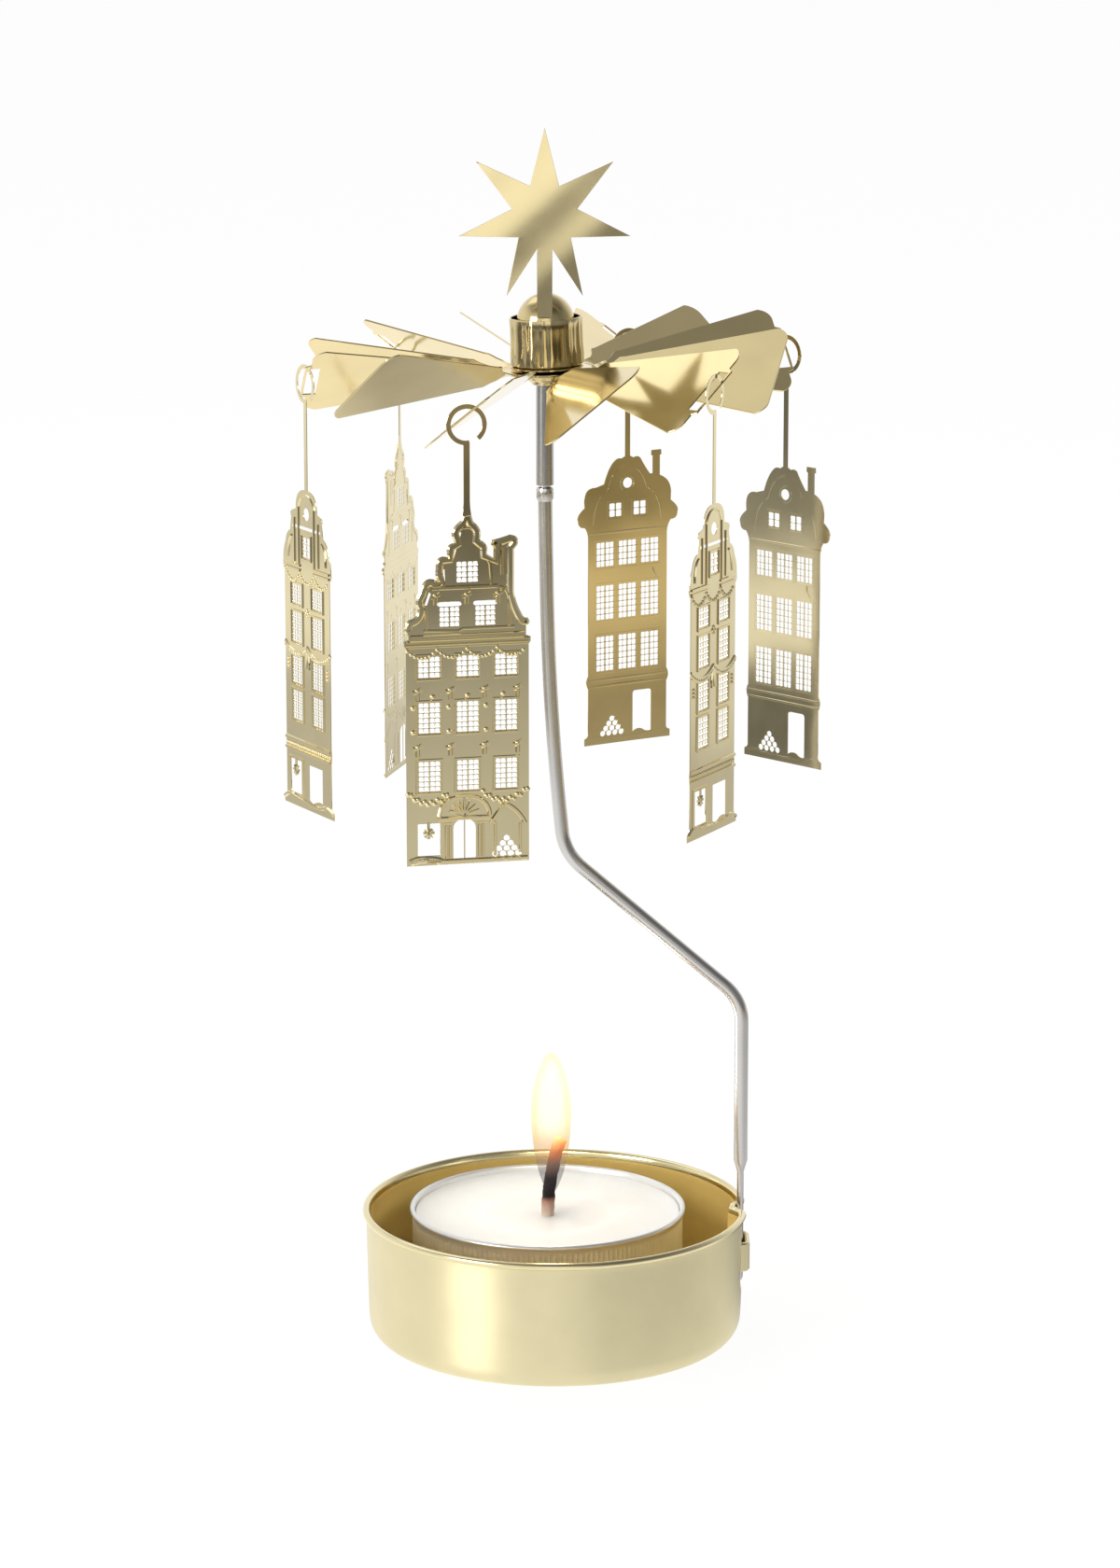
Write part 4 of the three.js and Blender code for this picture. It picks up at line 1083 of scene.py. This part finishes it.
hung = [
    ("merchant", "front", 0, 13, 0.4, 1.0, 0.8), ("narrow", "right", 0, 62, 0.3, 0.3, 2.0),
    ("bell", "right", 0, 135, -0.1, 0.7, 1.5), ("bell", "back", 0, 211, -0.55, 0.9, 4.0),
    ("merchant", "back", -1.6, 255, 0.1, 1.0, 1.0), ("narrow", "left", 0, 300, 0.3, 0.3, 1.0),
]
for i, (design, side, along, turn, beside, below, curl) in enumerate(hung):
    x, y, z = hook_spot(2 * i, along)
    house = copied(patterns[design])
    house.name = f"{design}_house_{side}"
    worked(house, "SIMPLE_DEFORM", deform_method="BEND", deform_axis="Z", angle=math.radians(curl))
    across = (beside * math.cos(math.radians(turn)), beside * math.sin(math.radians(turn)))
    settle(house, (x + across[0], y + across[1], z - below - hangs[design]), (0, 0, turn))
    body = f"house_{design}_{side}"
    dress(house, house_brass, body, "sheet_gold", body)
for pattern in patterns.values():
    bpy.data.objects.remove(pattern)

# Studio. A white table under soft boxes, with a darker room in front and overhead that the polished
# sheet mirrors, and the camera at the photograph's place.
bpy.ops.object.select_all(action="DESELECT")
bpy.ops.mesh.primitive_circle_add(vertices=96, radius=6, fill_type="NGON", location=(0, 0, -0.0002))
floor = bpy.context.object
floor.name = "floor"


def graded(source, stops, low, high):
    """Grey levels along a source that runs from low to high, through stops (value, level)."""
    share = ranged(source, low, high)
    return shades(share, [((value - low) / (high - low), (level,) * 3) for value, level in stops])


def reckon(operation, first, second):
    """One number from two, such as their product or the larger one."""
    return fed(second.id_data, "Math", {0: first, 1: second}, operation=operation)


paper, paper_tree, paper_shader = finish_of("paper")
paper_tree.nodes.remove(paper_shader)
paper_axes = axes_of(paper_tree)
front_levels = [
    (-1.6, 0.15), (-1.2, 0.2), (-0.92, 0.36), (-0.8, 0.36), (-0.73, 0.18), (-0.67, 0.10), (-0.62, 0.14),
    (-0.49, 0.38), (-0.35, 0.60), (-0.22, 0.82), (-0.1, 0.95),
]
side_levels = [
    (-0.75, 0.16), (-0.6, 0.3), (-0.52, 1.0), (-0.44, 1.0), (-0.40, 0.16), (-0.32, 0.16), (-0.26, 1.15),
    (-0.05, 1.15), (0.0, 1.1), (0.05, 1.0), (0.12, 0.7), (0.3, 0.5), (0.4, 0.5), (0.48, 0.7), (0.56, 0.62),
    (0.75, 0.42),
]
back_levels = [(-0.32, 1.0), (-0.18, 0.0), (0.06, 0.0), (0.14, 0.6), (0.3, 0.6), (0.45, 1.0)]
corner_levels = [(0.3, 1.0), (0.36, 0.62), (0.43, 1.4), (0.5, 1.3), (0.58, 0.55), (0.75, 0.42)]
# strip and edge mark a painted shadow on the table, just behind and right of the cup, seen only in
# reflections.
strip_levels = [(0.0, 0.0), (0.03, 0.85), (0.06, 0.85), (0.16, 0.0)]
edge_levels = [(0.005, 0.0), (0.022, 1.0), (0.045, 1.0), (0.08, 0.0)]
front = graded(paper_axes["Y"], front_levels, -1.7, 0.1)
sides = graded(paper_axes["X"], side_levels, -0.8, 0.8)
back = graded(paper_axes["Y"], back_levels, -0.4, 0.5)
warm = graded(paper_axes["X"], [(0.22, 0.0), (0.34, 0.8), (0.6, 1.0)], 0.2, 0.7)
near = graded(paper_axes["Y"], [(0.0, 1.0), (0.2, 0.0)], -0.1, 0.3)
far = graded(paper_axes["Y"], [(0.05, 0.0), (0.22, 0.95)], 0.0, 0.3)
corner = graded(paper_axes["X"], corner_levels, 0.2, 0.8)
strip = graded(paper_axes["Y"], strip_levels, -0.1, 0.2)
edge = graded(paper_axes["X"], edge_levels, -0.1, 0.1)
table = reckon("MAXIMUM", sides, back)
table = reckon("MAXIMUM", table, reckon("MULTIPLY", warm, far))
table = reckon("MULTIPLY", front, table)
# Painted shadow: the table is darkened in a strip just behind and right of the cup, which darkens the cup's
# right edge in reflections.
painted_shadow_beside_cup = reckon("MULTIPLY", strip, edge)
table = reckon("MULTIPLY", table, reckon("SUBTRACT", 1.0, painted_shadow_beside_cup))
# Painted reflection: on the table's right side, towards the front, the table is tinted gold and given
# brighter and darker bands. This is seen only in reflections, so the houses on the right show amber.
painted_gold_share = reckon("MULTIPLY", warm, near)
painted_gold_level = fed(paper_tree, "Mix", {"Factor": painted_gold_share, "A": 1.0, "B": corner})
table = reckon("MULTIPLY", table, painted_gold_level)
painted_gold_tint = fed(paper_tree, "Mix", {
    "Factor": painted_gold_share, "A": (1, 1, 1, 1), "B": (1, 0.82, 0.48, 1),
}, data_type="RGBA")
mirrored_table = fed(paper_tree, "Emission", {"Strength": table, "Color": painted_gold_tint.outputs["Result"]})
white = fed(paper_tree, "Emission", {"Strength": 1.09})
plain = fed(paper_tree, "BsdfDiffuse", {"Color": (0.86, 0.86, 0.86, 1)})
seen_table = fed(paper_tree, "MixShader", {0: 0.84, 1: plain, 2: white})
rays = fed(paper_tree, "LightPath", {}).outputs
lit_table = fed(paper_tree, "MixShader", {0: rays["Is Glossy Ray"], 1: plain, 2: mirrored_table})
direct = reckon("MAXIMUM", rays["Is Camera Ray"], rays["Is Transmission Ray"])
surface = fed(paper_tree, "MixShader", {0: direct, 1: lit_table, 2: seen_table})
feed(paper_tree, paper_tree.nodes["Material Output"], {"Surface": surface})
floor.data.materials.append(paper)

room = bpy.data.worlds.new("room")
bpy.context.scene.world = room
room.use_nodes = True
room_tree = room.node_tree
room_axes = axes_of(room_tree, "Generated")
rise_levels = [(0.0, 1.0), (0.3, 1.0), (0.5, 0.85), (0.7, 0.45), (0.85, 0.33), (1.0, 0.28)]
depth_levels = [(-1.0, 1.0), (-0.7, 0.9), (-0.4, 0.75), (0.0, 0.9), (0.3, 1.0)]


def towards(direction, stops):
    """Grey levels by how nearly a ray goes in a direction, from -1 for away to 1 for straight at it."""
    place = fed(room_tree, "TexCoord", {}).outputs["Generated"]
    along = fed(room_tree, "VectorMath", {0: place, 1: direction}, operation="DOT_PRODUCT")
    return graded(along.outputs["Value"], stops, -1, 1)


rise = graded(room_axes["Z"], rise_levels, 0.0, 1.0)
depth = graded(room_axes["Y"], depth_levels, -1.0, 0.4)
room_level = reckon("MULTIPLY", rise, depth)
dim_side = towards((0.86, -0.5, 0.1), [(0.0, 1.0), (0.35, 0.75), (0.7, 0.35), (1.0, 0.28)])
room_level = reckon("MULTIPLY", room_level, dim_side)
lamp_side = towards((-0.38, 0.45, 0.81), [(0.84, 0.0), (0.95, 0.7), (0.985, 0.9)])
room_level = reckon("MAXIMUM", room_level, lamp_side)
front_side = towards((0.0, -0.985, 0.17), [(0.88, 0.0), (0.965, 1.0), (0.99, 1.2)])
room_level = reckon("MAXIMUM", room_level, front_side)
room_rays = fed(room_tree, "LightPath", {}).outputs
room_level = reckon("MAXIMUM", room_level, room_rays["Is Camera Ray"])
feed(room_tree, room_tree.nodes["Background"], {"Color": (1, 1, 1, 1), "Strength": room_level})

for name, spot, aim, size, power, mirrored in [
    ("softbox", (-0.40, 0.50, 0.84), (0, 0, 0.13), 0.5, 0.4, True),
    ("window", (-0.60, -0.50, 0.26), (0, 0, 0.02), 0.36, 2.4, True),
    ("overhead", (0.0, 0.0, 0.9), (0, 0.001, 0), 0.6, 1.9, False),
]:
    bpy.ops.object.light_add(type="AREA", location=spot)
    lamp = bpy.context.object
    lamp.name = name
    lamp.data.size = size
    lamp.data.energy = power
    lamp.visible_glossy = mirrored
    lamp.visible_camera = False
    away = [s - a for s, a in zip(spot, aim)]
    flat_away = math.hypot(away[0], away[1])
    lamp.rotation_euler = (math.atan2(flat_away, away[2]), 0, math.atan2(away[1], away[0]) + math.pi / 2)

bpy.ops.object.camera_add(location=(0.000717, -0.67695, 0.23365), rotation=(math.radians(77.034), 0, 0))
camera = bpy.context.object
camera.data.lens = 117.657
camera.data.sensor_width = 36
camera.data.clip_start = 0.01
bpy.context.scene.camera = camera
bpy.context.scene.view_settings.view_transform = "Standard"
